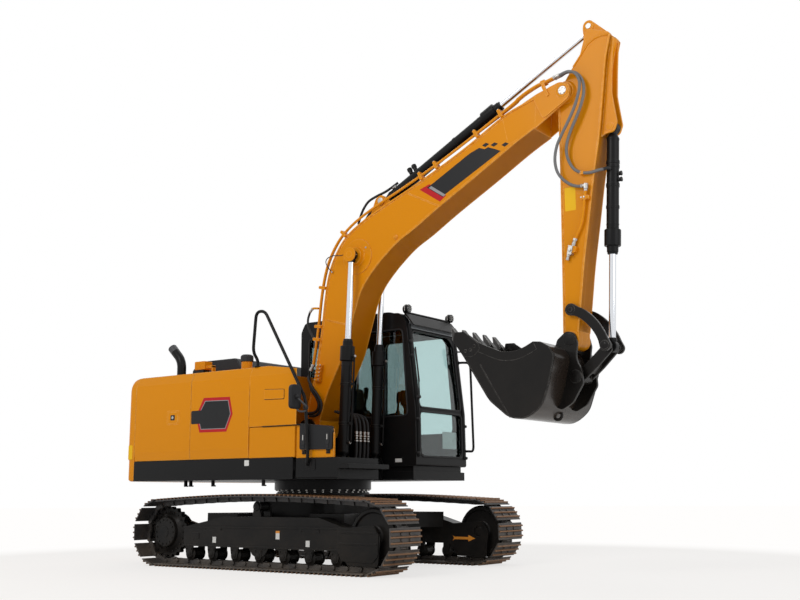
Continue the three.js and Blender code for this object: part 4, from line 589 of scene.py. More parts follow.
def soften(shape, width, segments=2, angle=28):
    """Bevels a shape's sharp edges by a width in millimetres."""
    sharp = [e for e in shape.edges if len(e.link_faces) == 2 and e.calc_face_angle(0) > math.radians(angle)]
    if sharp and width:
        bmesh.ops.bevel(shape, geom=sharp, offset=width * MM, offset_type="OFFSET", segments=segments, profile=0.6,
            affect="EDGES", clamp_overlap=True)
    return shape


def mesh_of(name, shape):
    """A mesh from a shape, which is used up."""
    mesh = bpy.data.meshes.new(name)
    shape.to_mesh(mesh)
    shape.free()
    return mesh


def add_shape(target, shape):
    """Adds a shape to another one. The shape is used up."""
    carrier = mesh_of("carrier", shape)
    target.from_mesh(carrier)
    bpy.data.meshes.remove(carrier)


def evaluated_mesh(piece):
    """A plain mesh of what a piece's modifiers give."""
    return bpy.data.meshes.new_from_object(piece.evaluated_get(bpy.context.evaluated_depsgraph_get()))


def settle(piece, body, stands_for=(), sharp=50):
    """Shades a finished piece, puts it on its body and tells the frame what it stands for."""
    piece.data.shade_smooth()
    piece.data.set_sharp_from_angle(angle=math.radians(sharp))
    weighted = piece.modifiers.new("even_normals", "WEIGHTED_NORMAL")
    weighted.keep_sharp = True
    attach(piece, body)
    if stands_for:
        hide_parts(*stands_for)
    return piece


def new_object(name, mesh):
    """An object for a mesh, at the origin, in the scene."""
    made = bpy.data.objects.new(name, mesh)
    bpy.context.scene.collection.objects.link(made)
    return made


class Kit:
    """The parts of one assembly. put() adds a shape in a finish, done() makes the meshes."""

    def __init__(self, name, body, finish_name="paint_black"):
        self.name, self.body, self.usual, self.shapes = name, body, finish_name, {}

    def put(self, shape, finish_name=None, soft=0.0, segments=2):
        """Adds a shape, which is used up."""
        finish_name = finish_name or self.usual
        if finish_name not in self.shapes:
            self.shapes[finish_name] = bmesh.new()
        target = self.shapes[finish_name]
        target.loops.layers.uv.verify()
        soften(shape, soft, segments)
        if not shape.loops.layers.uv:
            shape.loops.layers.uv.new("run")
        add_shape(target, shape)

    def done(self, stands_for=()):
        """The first one put in stands for the CAD nodes."""
        made = []
        for i, (finish_name, shape) in enumerate(self.shapes.items()):
            material, slot = FINISHES[finish_name]
            mesh = mesh_of(f"{self.name}.{finish_name}", shape)
            mesh.uv_layers[0].name = "run"
            mesh.materials.append(material)
            piece = new_object(mesh.name, mesh)
            made.append(settle(piece, self.body, stands_for if i == 0 else ()))
        faces = sum(len(o.data.polygons) for o in made)
        print(f"{self.name}: {len(made)} meshes, {faces} faces on {self.body}")
        return made


# %% [markdown]
# ## Finishing a CAD shape
# Where the CAD node already has the right form, a copy of its mesh is merged, its flat faces are joined
# again and every edge gets a real bevel. The CAD node itself is only hidden behind the copy.

# %% A softened copy of a CAD node
def join_flat(shape):
    """Joins the triangles of each flat face."""
    bmesh.ops.dissolve_limit(shape, angle_limit=math.radians(1.0), verts=shape.verts, edges=shape.edges,
        delimit={"NORMAL"})


def softened(node, finish_name, width=4.0, segments=2, angle=24, sharp=50, slant=None):
    """A copy of a CAD node with bevelled edges, in a finish, standing for the node.

    slant is a corner and a slope, and cuts the shape upright along the line that leaves the corner
    backwards and inwards.
    """
    source = frame["nodes"][node]
    shape = bmesh.new()
    shape.from_mesh(source.data)
    bmesh.ops.remove_doubles(shape, verts=shape.verts, dist=2e-5)
    join_flat(shape)
    if slant:
        x, y, slope = slant
        bmesh.ops.bisect_plane(shape, geom=list(shape.verts) + list(shape.edges) + list(shape.faces), dist=1e-5,
            plane_co=at(x, y, 0), plane_no=Vector((slope, 1, 0)).normalized(), clear_outer=True)
        rim = [e for e in shape.edges if e.is_boundary]
        bmesh.ops.triangle_fill(shape, edges=rim, use_beauty=True)
        bmesh.ops.recalc_face_normals(shape, faces=shape.faces)
        join_flat(shape)
    soften(shape, width, segments, angle)
    mesh = mesh_of(f"{node}.shape", shape)
    while mesh.uv_layers:
        mesh.uv_layers.remove(mesh.uv_layers[0])
    material, slot = FINISHES[finish_name]
    mesh.materials.clear()
    mesh.materials.append(material)
    piece = new_object(f"{node}.shape", mesh)
    return settle(piece, source["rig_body"], (node,), sharp)


# %% [markdown]
# ## Repeating a part with Geometry Nodes
# Shoes, links, rollers and bolts repeat by rule. One node tree puts a template on every point of
# a mesh and turns it by the point's own attribute. It ends in Realize Instances and Set Material.

# %% The repeating tree
def repeating_tree():
    """Template on points. Inputs: the points, the template, its size and its finish."""
    tree = bpy.data.node_groups.new("part_on_points", "GeometryNodeTree")
    for label, kind in (("Points", "Geometry"), ("Template", "Object"), ("Size", "Float"), ("Finish", "Material")):
        tree.interface.new_socket(label, in_out="INPUT", socket_type="NodeSocket" + kind)
    tree.interface.new_socket("Parts", in_out="OUTPUT", socket_type="NodeSocketGeometry")
    start, end = tree.nodes.new("NodeGroupInput"), tree.nodes.new("NodeGroupOutput")
    template, turn, placed, real, coated = (
        tree.nodes.new("GeometryNode" + kind)
        for kind in ("ObjectInfo", "InputNamedAttribute", "InstanceOnPoints", "RealizeInstances", "SetMaterial"))
    turn.data_type = "FLOAT_VECTOR"
    turn.inputs["Name"].default_value = "turn"
    for a, b in (
        (start.outputs["Points"], placed.inputs["Points"]),
        (start.outputs["Template"], template.inputs["Object"]),
        (template.outputs["Geometry"], placed.inputs["Instance"]),
        (turn.outputs["Attribute"], placed.inputs["Rotation"]),
        (start.outputs["Size"], placed.inputs["Scale"]),
        (placed.outputs["Instances"], real.inputs["Geometry"]),
        (real.outputs["Geometry"], coated.inputs["Geometry"]),
        (start.outputs["Finish"], coated.inputs["Material"]),
        (coated.outputs["Geometry"], end.inputs["Parts"]),
    ):
        tree.links.new(a, b)
    return tree


REPEATING = repeating_tree()


def repeated(name, template, places, finish_name, body, size=1.0, stands_for=(), sharp=40):
    """The template at each (point, turn) pair, as one mesh on a body. Points are in the frame."""
    material, slot = FINISHES[finish_name]
    points = bpy.data.meshes.new(name)
    points.from_pydata([p for p, _ in places], [], [])
    turns = points.attributes.new("turn", "FLOAT_VECTOR", "POINT")
    turns.data.foreach_set("vector", [v for _, turn in places for v in turn])
    holder = new_object(f"{name}_points", points)
    carrier = new_object(f"{name}_template", template)
    modifier = holder.modifiers.new("repeat", "NODES")
    modifier.node_group = REPEATING
    sockets = {s.name: s.identifier for s in REPEATING.interface.items_tree if s.in_out == "INPUT"}
    modifier[sockets["Template"]] = carrier
    modifier[sockets["Size"]] = size
    modifier[sockets["Finish"]] = material
    mesh = evaluated_mesh(holder)
    mesh.name = name
    bpy.data.objects.remove(holder)
    bpy.data.objects.remove(carrier)
    piece = new_object(name, mesh)
    print(f"{name}: {len(places)} copies, {len(mesh.polygons)} faces")
    return settle(piece, body, stands_for, sharp)


def template_mesh(*shapes):
    """One mesh, round the origin, from shapes that were drawn round the drawing's datum."""
    whole = bmesh.new()
    for shape in shapes:
        add_shape(whole, shape)
    bmesh.ops.translate(whole, verts=whole.verts, vec=-at(0, 0, 0))
    return mesh_of("template", whole)


def turn_to(axis, up=(0, 0, 1)):
    """The Euler turn that takes a template's Z axis to a direction."""
    axis = Vector(axis).normalized()
    side = Vector(up).cross(axis)
    side = side.normalized() if side.length > 1e-4 else Vector((1, 0, 0))
    frame_of = Matrix((side, axis.cross(side), axis)).transposed()
    return tuple(frame_of.to_euler())


def hex_bolt(size=12, height=9, washer=True):
    """A hexagon head with its washer, standing on Z."""
    head = turned((0, 0, 0), (0, 0, 1), [(-2, size), (height * 0.8, size), (height, size * 0.86)], sides=6)
    parts = [head]
    if washer:
        parts.append(turned((0, 0, 0), (0, 0, 1), [(-2, size * 1.25), (1.6, size * 1.25), (2.4, size * 1.15)],
            sides=12))
    return template_mesh(*parts)


print("kit, softened copies and repeating tree ready")

# %% [markdown]
# ## Shapes that the CAD model already has
# Doors, boxes, steps, levers and panes keep their CAD form. Pressed sheet gets a bevel of a few
# millimetres, castings and moulded covers a larger one. The tank and the tool box have a slanted inner
# corner, which leaves room for the boom's hoses and its right cylinder.

# %% Softened CAD shapes
SOFTENED = {
    "track_frame": ("paint_black", 5, 2),
    "revolving_frame": ("paint_black", 4, 2),
    "engine_housing": ("paint_yellow", 4, 2),
    "engine_hood": ("paint_charcoal", 22, 4),
    "engine": ("engine_grey", 12, 2),
    "fuel_tank": ("paint_yellow", 14, 3),
    "lower_side_box": ("paint_yellow", 12, 3),
    "toolbox": ("paint_yellow", 6, 2),
    "toolbox_lid": ("cab_plastic", 7, 3),
    "front_step": ("paint_black", 4, 2),
    "cab_shell": ("paint_black", 6, 2),
    "cab_door": ("paint_black", 6, 2),
    "seat_base": ("cab_plastic", 8, 2),
    "travel_levers": ("cab_plastic", 4, 2),
}
SLANTS = {
    "fuel_tank": (605, -1235, 1.06), "lower_side_box": (1106, -1213, 1.12), "toolbox": (1106, -1213, 1.12),
    "toolbox_lid": (1090, -1213, 1.12),
}
for node, (finish_name, width, segments) in SOFTENED.items():
    softened(node, finish_name, width, segments, slant=SLANTS.get(node))

# %% [markdown]
# ## Tracks
# A track is a loop of 44 steel shoes bolted to a chain of links. The chain runs on the idler and the
# sprocket at one radius, and the top run is lifted a little by the carrier roller. A function gives any
# point of that loop, so the shoes and links are only told their share of it, and turn with it.

# %% The loop
WHEEL_X, WHEEL_Z, SHOE_FACE, RAIL = 1458.5, 368, 348, 286
TRACK_MIDDLE, SHOES, CROWN = 995, 44, 50


def loop_point(share, inset=0.0):
    """X and Z at a share of the track's loop, some millimetres inside the faces of the shoes."""
    radius, straight = SHOE_FACE - inset, 2 * WHEEL_X
    bend = math.pi * RAIL
    along = (share % 1.0) * 2 * (straight + bend)
    if along < straight:
        return (along - WHEEL_X, WHEEL_Z - radius)
    along -= straight
    if along < bend:
        angle = math.radians(-90) + along / RAIL
        return (WHEEL_X + radius * math.cos(angle), WHEEL_Z + radius * math.sin(angle))
    along -= bend
    if along < straight:
        lift = CROWN * math.sin(along / straight * math.pi)
        return (WHEEL_X - along, WHEEL_Z + radius + lift)
    angle = math.radians(90) + (along - straight) / RAIL
    return (-WHEEL_X + radius * math.cos(angle), WHEEL_Z + radius * math.sin(angle))


def loop_places(side, offset=0.44):
    """The place and turn of each shoe: its Z axis points out of the loop."""
    places = []
    for i in range(SHOES):
        share = (i + offset) / SHOES
        (x, z), (x0, z0), (x1, z1) = loop_point(share), loop_point(share - 0.002), loop_point(share + 0.002)
        angle = math.atan2(z1 - z0, -(x1 - x0))
        places.append((at(x, side * TRACK_MIDDLE, z), (0.0, angle, 0.0)))
    return places


print("loop length", round(2 * (2 * WHEEL_X + math.pi * RAIL)), "mm")

# %% [markdown]
# The shoe has three raised bars across it and four bolts. The bars are what the ground wears, so the
# mesh carries a value, worn, that is high at their tips. The steel's finish turns it into rust.

# %% Shoes and links
def shoe_template():
    """One shoe about its outer face: X along the track, Z out of it."""
    profile = [(-90, -3), (-84, -13), (78, -13), (90, -9), (92, -2), (84, 0)]
    for bar in (56, 0, -56):
        profile += [(bar + 11, 0), (bar + 7, 17), (bar + 4, 19.6), (bar - 4, 19.6), (bar - 7, 17), (bar - 11, 0)]
    profile += [(-80, 0)]
    tread = plate(profile, -250, 250)
    ends = [e for e in tread.edges if all(abs(abs(v.co.y) - 0.25) < 1e-6 for v in e.verts)]
    bmesh.ops.bevel(tread, geom=ends, offset=0.004, segments=1, affect="EDGES", clamp_overlap=True)
    bolts = [turned((x, y, -1), (0, 0, 1), [(0, 15), (9, 15), (11, 12)], sides=6) for x in (-28, 28)
        for y in (-72, 72)]
    mesh = template_mesh(tread, *bolts)
    worn = mesh.attributes.new("worn", "FLOAT", "POINT")
    for i, v in enumerate(mesh.vertices):
        rise = v.co.z / MM
        worn.data[i].value = max(0.0, min(1.0, (rise - 6) / 9)) if abs(v.co.x) < 0.08 and rise > 12 else 0.0
    return mesh


def link_template():
    """The two link plates of a shoe with their pin bosses, inside the loop."""
    front = rounded([(-8, -13), (98, -13), (104, -36), (92, -58, 12), (20, -61), (-20, -61)])
    rear = rounded([(8, -13), (20, -61), (-20, -61), (-92, -58, 12), (-104, -36), (-98, -13)])
    parts = []
    for side in (-1, 1):
        parts.append(plate(front, side * 36, side * 50))
        parts.append(plate(rear, side * 50, side * 64))
    for x in (-86.7,):
        parts.append(turned((x, -66, -38), (0, 1, 0), [(0, 16), (3, 21), (129, 21), (132, 16)], sides=12))
    return template_mesh(*parts)


for side, name in ((1, "left"), (-1, "right")):
    repeated(f"track_shoes_{name}", shoe_template(), loop_places(side), "track_steel", "undercarriage",
        stands_for=(f"track_{name}",), sharp=30)
    repeated(f"track_links_{name}", link_template(), loop_places(side), "track_steel", "undercarriage", sharp=35)

# %% [markdown]
# ## Wheels of the track
# The sprocket is a toothed ring bolted to the final drive, the idler is a smooth wheel, and seven
# flanged rollers carry each side frame. The rollers sit in a row, so they are one template on points.

# %% Sprockets, idlers and rollers
def sprocket(side, name):
    """Toothed ring, drive housing and its bolted cover."""
    y = side * TRACK_MIDDLE
    kit = Kit(f"drive_{name}", "undercarriage")
    teeth = []
    for i in range(21):
        for share, radius in ((0.0, 281), (0.14, 278), (0.3, 258), (0.5, 252), (0.7, 258), (0.86, 278)):
            angle = (i + share) * 2 * math.pi / 21
            teeth.append((-WHEEL_X + radius * math.cos(angle), WHEEL_Z + radius * math.sin(angle)))
    kit.put(plate(teeth, y - 27, y + 27), soft=2, segments=1)
    out = (0, side, 0)
    hub = [(-152, 0), (-152, 150), (-140, 164), (-34, 164), (-30, 236), (30, 236), (34, 214), (44, 206), (58, 176),
        (66, 168), (98, 166), (104, 160), (106, 150), (108, 0)]
    kit.put(turned((-WHEEL_X, y, WHEEL_Z), out, hub, sides=56))
    kit.put(turned((-WHEEL_X, y, WHEEL_Z), out, [(104, 62), (113, 60), (114, 0)], sides=32))
    kit.done((f"sprocket_{name}",))
    spots = []
    for count, radius, level in ((20, 222, 32), (14, 134, 107)):
        for i in range(count):
            angle = i * 2 * math.pi / count
            spots.append((at(-WHEEL_X + radius * math.cos(angle), y + side * level,
                WHEEL_Z + radius * math.sin(angle)), turn_to(out)))
    repeated(f"drive_bolts_{name}", hex_bolt(10, 8, False), spots, "paint_black", "undercarriage")


def idler(side, name):
    """Front wheel: a centre flange between two treads, dished sides and an axle."""
    y = side * TRACK_MIDDLE
    kit = Kit(f"front_wheel_{name}", "undercarriage")
    half = [(0, 284), (32, 284), (36, 270), (64, 268), (66, 262), (66, 240), (44, 226), (40, 120), (58, 96),
        (88, 88), (92, 60), (104, 54), (108, 46), (108, 0)]
    profile = [(-a, r) for a, r in half[::-1]] + half[1:]
    kit.put(turned((WHEEL_X, y, WHEEL_Z), (0, 1, 0), profile, sides=64))
    kit.done((f"idler_{name}",))


def roller_template(radius=62):
    """A track roller along Y with its flanges and end caps."""
    half = [(0, radius - 14), (30, radius - 12), (34, radius), (66, radius), (68, radius + 11), (77, radius + 11),
        (80, radius - 2), (88, 46), (97, 40), (99, 24), (99, 0)]
    profile = [(-a, r) for a, r in half[::-1]] + half[1:]
    return template_mesh(turned((0, 0, 0), (0, 1, 0), profile, sides=28))


ROLLER_Z, ROLLER_FIRST, ROLLER_STEP, ROLLERS = 144.3, -1057.5, 346.0, 7
for side, name in ((1, "left"), (-1, "right")):
    sprocket(side, name)
    idler(side, name)
    y = side * TRACK_MIDDLE
    spots = [(at(ROLLER_FIRST + i * ROLLER_STEP, y, ROLLER_Z), (0, 0, 0)) for i in range(ROLLERS)]
    repeated(f"track_rollers_{name}", roller_template(), spots, "paint_black", "undercarriage")
    repeated(f"carrier_roller_{name}", roller_template(46), [(at(-70, y, 652), (0, 0, 0))], "paint_black",
        "undercarriage")

# %% [markdown]
# ## Side frames
# The side frames are welded boxes. What makes them look real is what is welded and bolted on: a flange
# along each edge, cover plates, roller brackets with their bolts, the idler guard's ribs, and the ring
# of bolts that holds the slewing bearing.

# %% Side frame details
def frame_side(side, name):
    """Plates, ribs, brackets and small blank plates on the outer face of a side frame."""
    kit = Kit(f"frame_details_{name}", "undercarriage")
    face = side * (TRACK_MIDDLE + 100)

    def on_face(outline, rise, start=0.0, finish_name="paint_black", soft=2.0):
        """A plate on the side frame's face."""
        kit.put(plate(outline, face + side * start, face + side * rise), finish_name, soft=soft)

    on_face(rounded([(-1120, 238, 14), (1062, 238, 14), (1062, 444, 14), (-1120, 424, 14)]), 7, -4)
    for z0, z1, drop in ((226, 242, 0), (437, 453, 16)):
        on_face([(-1140, z0 - drop), (1064, z0), (1064, z1), (-1140, z1 - drop)], 18, -4)
    for x in (-820, 560):
        on_face(rounded([(x, 392, 10), (x + 260, 394, 10), (x + 260, 428, 10), (x, 426, 10)]), 13, 0)
        for dx in (20, 240):
            kit.put(turned((x + dx, face + side * 12, 410), (0, side, 0), [(0, 9), (6, 9), (7, 6)], sides=6))
    # guard over the idler's fork with two pressed ribs
    guard = side * (TRACK_MIDDLE + 118)
    shell = rounded([(1062, 226, 10), (1120, 132, 40), (1500, 122, 60), (1566, 190, 50), (1572, 400, 40),
        (1520, 462, 40), (1062, 456, 10)])
    kit.put(plate(shell, guard - side * 6, guard + side * 8), soft=4)
    for z in (300, 410):
        kit.put(plate(rounded([(1080, z - 9, 8), (1556, z - 9, 8), (1556, z + 9, 8), (1080, z + 9, 8)]), guard,
            guard + side * 16), soft=4)
    # bolted roller brackets
    for i in range(ROLLERS):
        x = ROLLER_FIRST + i * ROLLER_STEP
        bracket = rounded([(x - 62, 236), (x - 52, 168, 20), (x - 34, 108, 26), (x + 34, 108, 26),
            (x + 52, 168, 20), (x + 62, 236)])
        kit.put(plate(bracket, face - side * 12, face + side * 4), soft=3)
        kit.put(turned((x, face + side * 2, ROLLER_Z), (0, side, 0), [(0, 27), (7, 27), (10, 20), (10, 0)],
            sides=20))
    # sloped covers above the frame and the post of the carrier roller
    post = rounded([(-130, 520), (-110, 640, 20), (-30, 640, 20), (10, 520)])
    kit.put(plate(post, face - side * 26, face - side * 12), soft=3)
    kit.put(turned((-70, face - side * 14, 652), (0, side, 0), [(0, 34), (10, 34), (14, 26), (14, 0)], sides=24))
    # grease cover and small blank plates
    on_face(rounded([(-1010, 300, 12), (-900, 300, 12), (-900, 372, 12), (-1010, 372, 12)]), 12)
    for x, finish_name, top in ((-690, "label_white", 330), (230, "label_white", 385), (640, "label_white", 318)):
        on_face([(x, top - 62), (x + 52, top - 62), (x + 52, top), (x, top)], 8.4, 6.6, finish_name, 0)
    on_face([(230, 385), (282, 385), (282, 408), (230, 408)], 8.4, 6.6, "label_orange", 0)
    kit.done()
    bolts = [(at(ROLLER_FIRST + i * ROLLER_STEP + dx, face + side * 4, 196), turn_to((0, side, 0)))
        for i in range(ROLLERS) for dx in (-38, 38)]
    repeated(f"bracket_bolts_{name}", hex_bolt(11, 9), bolts, "paint_black", "undercarriage")


for side, name in ((1, "left"), (-1, "right")):
    frame_side(side, name)

# %% Travel arrow and slewing ring bolts
arrow = Kit("travel_arrow", "undercarriage", "label_orange")
arrow_y = TRACK_MIDDLE - 118
arrow_line = [(1120, 262), (1150, 276), (1330, 276), (1330, 254), (1420, 290), (1330, 326), (1330, 304),
    (1150, 304), (1120, 318), (1140, 290)]
arrow.put(plate(arrow_line, arrow_y - 2.2, arrow_y + 1))
arrow.done()

ring_bolts = []
for i in range(36):
    angle = i * 2 * math.pi / 36
    x, y = -SWING_BACK + 526 * math.cos(angle), 526 * math.sin(angle)
    ring_bolts.append((at(x, y, 831), turn_to((0, 0, -1))))
repeated("slewing_bolts_upper", hex_bolt(13, 14), ring_bolts, "bare_steel", "upperstructure")
ring = Kit("slewing_flange", "undercarriage")
ring.put(turned((-SWING_BACK, 0, 776), (0, 0, 1), [(0, 470), (0, 528), (3, 531), (19, 531), (22, 528), (22, 470)],
    sides=72))
ring.done()
flange_bolts = [(p + Vector((0, 0, -0.033)), turn_to((0, 0, 1))) for p, _ in ring_bolts]
repeated("slewing_bolts_lower", hex_bolt(12, 12), [(Vector(((p.x - at(-SWING_BACK, 0,
    0).x) * 0.965 + at(-SWING_BACK, 0, 0).x, p.y * 0.965, 0.798)), t) for p, t in flange_bolts], "bare_steel",
    "undercarriage")

# %% [markdown]
# ## Boom
# The boom is a welded box: two side webs between a top and a bottom flange that stand a few millimetres
# proud, so the weld has a corner to sit in. The flanges follow two smooth curves, and the pipes follow
# the same curves at a distance. Doubler plates, bosses and the fork at the end are welded on the webs.

# %% Boom curves and welded parts
RIGHT, LEFT = -1, 1
BOOM_HALF, WEB_HALF, FLANGE = 190, 177, 18
TOP_LINE = flowing([
    (-21, 1621), (30, 1848), (100, 2074), (155, 2350), (200, 2640), (235, 2930), (290, 3220), (390, 3450),
    (545, 3640), (760, 3775), (1020, 3893), (1400, 4040), (1793, 4205), (2200, 4395), (2601, 4609),
    (2800, 4680), (2996, 4734),
])
LOW_LINE = flowing([
    (186, 1584), (273, 1835), (350, 1990), (440, 2151), (530, 2330), (600, 2536), (670, 2760), (740, 2950),
    (830, 3090), (930, 3200), (1056, 3316), (1257, 3469), (1485, 3589), (1813, 3780), (2333, 4063),
    (2716, 4278), (2971, 4404),
])


def arc(centre, radius, first, last, steps=12):
    """Points on part of a circle, between two angles in degrees."""
    angles = [math.radians(first + (last - first) * k / steps) for k in range(steps + 1)]
    return [(centre[0] + radius * math.cos(a), centre[1] + radius * math.sin(a)) for a in angles]


def offset(centre, *moves):
    """Points given as moves from a centre. A third number is the radius of the corner."""
    return [(centre[0] + m[0], centre[1] + m[1], *m[2:]) for m in moves]


def strip(line, thick, half):
    """A rolled flange: a line made into a band of a thickness, from one side to the other."""
    return wide_plate(line + inset_line(line, thick)[::-1], half)


def web_y(side, half):
    """A Y level on one side of the boom's middle plane."""
    return BOOM_Y + side * half


def across(centre, side, half, profile, sides=40):
    """A part turned round a pin. It starts at a half width and grows outwards on its side."""
    return turned((centre[0], web_y(side, half), centre[1]), (0, side, 0), profile, sides)


def pin(centre, half, radius):
    """A pin through both webs."""
    return turned((centre[0], web_y(RIGHT, half), centre[1]), (0, 1, 0), [(0, radius), (2 * half, radius)], 40)


def web_plate(outline, side, inner, outer):
    """A plate between two half widths on one side."""
    return plate(outline, web_y(side, inner), web_y(side, outer))


def wide_plate(outline, half):
    """A plate from one side to the other."""
    return plate(outline, web_y(RIGHT, half), web_y(LEFT, half))


def bead(points, radius=5.5):
    """A weld bead along points, a little uneven."""
    return tube(points, lambda share: radius * (1 + 0.12 * math.sin(share * 90)), sides=8)


def bolts_round(centre, y, side, count, ring, start):
    """Places for bolts in a ring round a pin."""
    spots = []
    for k in range(count):
        a = math.radians(start + 360 * k / count)
        point = at(centre[0] + ring * math.cos(a), y, centre[1] + ring * math.sin(a))
        spots.append((point, turn_to((0, side, 0))))
    return spots


boom = Kit("boom_box", "boom", "paint_yellow")
foot = arc(BOOM_FOOT, 108, -20, -200, 14)
boom.put(wide_plate(TOP_LINE + LOW_LINE[::-1] + foot, WEB_HALF), soft=2)
boom.put(strip(TOP_LINE, -FLANGE, BOOM_HALF), soft=4, segments=2)
boom.put(strip(LOW_LINE, FLANGE, BOOM_HALF), soft=4, segments=2)
FORK = rounded(offset(ARM_PIN, (-700, -140), (-640, -430), (-330, -325, 60), (-200, -250, 80), (70, -90, 90),
    (95, 45, 90), (-30, 105, 90), (-300, 35, 80), (-440, -20)), 8)
DOUBLER = rounded(offset(ARM_PIN, (-338, 2, 20), (-235, -228, 34), (-200, -236, 34), (66, -88, 88), (90, 45, 88),
    (-30, 98, 90), (-140, 70, 60)), 8)
LUG = rounded([(760, 3740), (1180, 3900), (1040, 4030, 50), (970, 4080, 60), (890, 4050, 60)], 6)
for side in (RIGHT, LEFT):
    boom.put(web_plate(FORK, side, 164, WEB_HALF + 1), soft=3)
    boom.put(web_plate(DOUBLER, side, 166, 196), soft=5)
    boom.put(across(ARM_PIN, side, 190, [(0, 70), (11, 70), (15, 66), (15, 48), (9, 46), (9, 0)]))
    boom.put(across(ARM_PIN, side, 198, [(0, 43), (5, 43), (7, 41), (7, 14), (2, 12), (2, 0)]), "bare_steel")
    boom.put(across(BOOM_FOOT, side, 150, [(0, 108), (36, 108), (40, 104), (40, 52), (36, 44), (10, 44)]))
    boom.put(across(BOOM_HEAD_PIN, side, 178, [(0, 198), (8, 198), (11, 195), (11, 112), (18, 104), (30, 97),
        (48, 93), (60, 91), (61, 87), (61, 0)], 56))
    boom.put(web_plate(LUG, side, 58, 88), soft=4)
    boom.put(across(ARM_CYLINDER_FOOT, side, 86, [(0, 58), (10, 58), (13, 55), (13, 0)]))
    face = web_y(side, WEB_HALF)
    boom.put(bead([(256, face, 2716), (400, face, 2676), (532, face, 2640)]))
    boom.put(bead([(1393, face, 3999), (1600, face, 3893), (1803, face, 3789)]))
    boom.put(bead([(x, face, z) for x, z in inset_line(TOP_LINE, -FLANGE - 1)[4:-6:2]], 4))
    boom.put(bead([(x, face, z) for x, z in inset_line(LOW_LINE, FLANGE + 1)[4:-6:2]], 4))
    boom.put(across((1231, 3531), side, WEB_HALF - 1, [(0, 24), (16, 24), (18, 21), (18, 12), (26, 12), (28, 10),
        (28, 0)], 20))
boom.put(pin(ARM_PIN, 160, 42))
boom.put(pin(ARM_CYLINDER_FOOT, 86, 34))
boom.put(across(ARM_CYLINDER_FOOT, RIGHT, 98, [(0, 34), (5, 34), (7, 31), (7, 0)]), "bare_steel")
boom.done(("boom",))

spots = []
for side in (RIGHT, LEFT):
    spots += bolts_round(ARM_PIN, web_y(side, 204), side, 5, 29, 20)
    spots += bolts_round(BOOM_HEAD_PIN, web_y(side, 189), side, 3, 150, 35)[:1]
repeated("boom_bolts", hex_bolt(9, 8), spots, "bare_steel", "boom")

# %% [markdown]
# ## Arm
# The arm is the same kind of welded box, tapering to the bucket. Two thick ears stand on its head for
# the arm cylinder, and two long stiffeners run down from them to carry the bucket cylinder's foot. Their
# cut edges catch the light, which is why each one gets a real bevel.

# %% Arm
ARM_HALF, ARM_WEB = 130, 119
ARM_BACK = flowing([tuple(p) for p in offset(BUCKET_PIN, (84, 80), (126, 410), (168, 740), (236, 1160),
    (303, 1580))] + [tuple(p) for p in offset(ARM_PIN, (336, -591), (378, -290), (415, 13), (446, 258),
    (500, 490))])
ARM_FRONT = flowing([tuple(p) for p in offset(BUCKET_PIN, (-80, 70), (-72, 499))] + [tuple(p)
    for p in offset(ARM_PIN, (-86, -900), (-86, -500), (-85, -152))])
ARM_WEB_LINE = rounded(ARM_BACK + offset(ARM_PIN, (480, 525), (250, 620, 40), (165, 347, 60), (67, 223),
    (-10, 113, 60), (-95, 60, 60)) + ARM_FRONT[::-1] + arc(BUCKET_PIN, 84, 200, 350, 14), 5)
EYE_PLATE = rounded(offset(ARM_PIN, (130, 300), (165, 347, 60), (198, 520, 80), (192, 668, 60), (265, 716, 60),
    (320, 676, 60), (490, 510, 20), (470, 420)), 6)
STIFFENER = rounded(offset(ARM_PIN, (300, -700), (345, -515, 40), (390, -500, 30), (480, -490, 60), (514, -400, 60),
    (483, -190, 140), (470, -90, 140), (480, 120, 200), (496, 340, 60), (508, 480, 20), (440, 480), (380, 0)), 7)
arm = Kit("arm_box", "arm", "paint_yellow")
slot_half = 51
for side in (RIGHT, LEFT):
    arm.put(web_plate(ARM_WEB_LINE, side, slot_half, ARM_WEB), soft=3)
    arm.put(web_plate(EYE_PLATE, side, slot_half, 87), soft=4)
    arm.put(web_plate(STIFFENER, side, slot_half + 1, 78), soft=4)
    arm.put(across(ARM_EAR_PIN, side, 85, [(0, 60), (9, 60), (12, 57), (12, 0)]))
    arm.put(across(BUCKET_CYLINDER_FOOT, side, 76, [(0, 40), (10, 40), (12, 37), (12, 0)]))
    arm.put(across(BUCKET_PIN, side, 120, [(0, 84), (7, 84), (10, 81), (10, 38), (0, 38)]))
    arm.put(across(ARM_PIN, side, 120, [(0, 118), (8, 118), (24, 104), (38, 102), (38, 44), (0, 44)]))
    face = web_y(side, ARM_WEB)
    arm.put(bead([(x, face, z) for x, z in inset_line(ARM_BACK, 15)[2:-8:2]], 4))
    arm.put(bead([(x, face, z) for x, z in inset_line(ARM_FRONT, -15)[1:-2:2]], 4))
arm.put(strip(ARM_BACK, 13.5, ARM_HALF), soft=3)
arm.put(strip(ARM_FRONT, -14, ARM_HALF), soft=3)
LOWER_BOX = [p for p in ARM_WEB_LINE if p[1] < ARM_PIN[1] + 40]
arm.put(wide_plate(LOWER_BOX, 56), soft=2)
arm.put(pin(BUCKET_CYLINDER_FOOT, 84, 32))
arm.put(pin(LINK_PIVOT, 168, 30), "digging_black")
arm.put(across(ARM_EAR_PIN, RIGHT, 96, [(0, 30), (4, 30), (6, 27), (6, 0)]), "bare_steel")
arm.done(("arm",))

# %% [markdown]
# ## Cylinders and rods
# A hydraulic cylinder is turned steel: a cast eye at the foot, a drawn barrel, a thick screwed head with
# a small gland in it, and a hard chromed rod that ends in another eye. Two ports and the clamps of the
# feed pipe sit on the barrel. All four are drawn from their two pins, the barrel by one function and the
# rod by another.

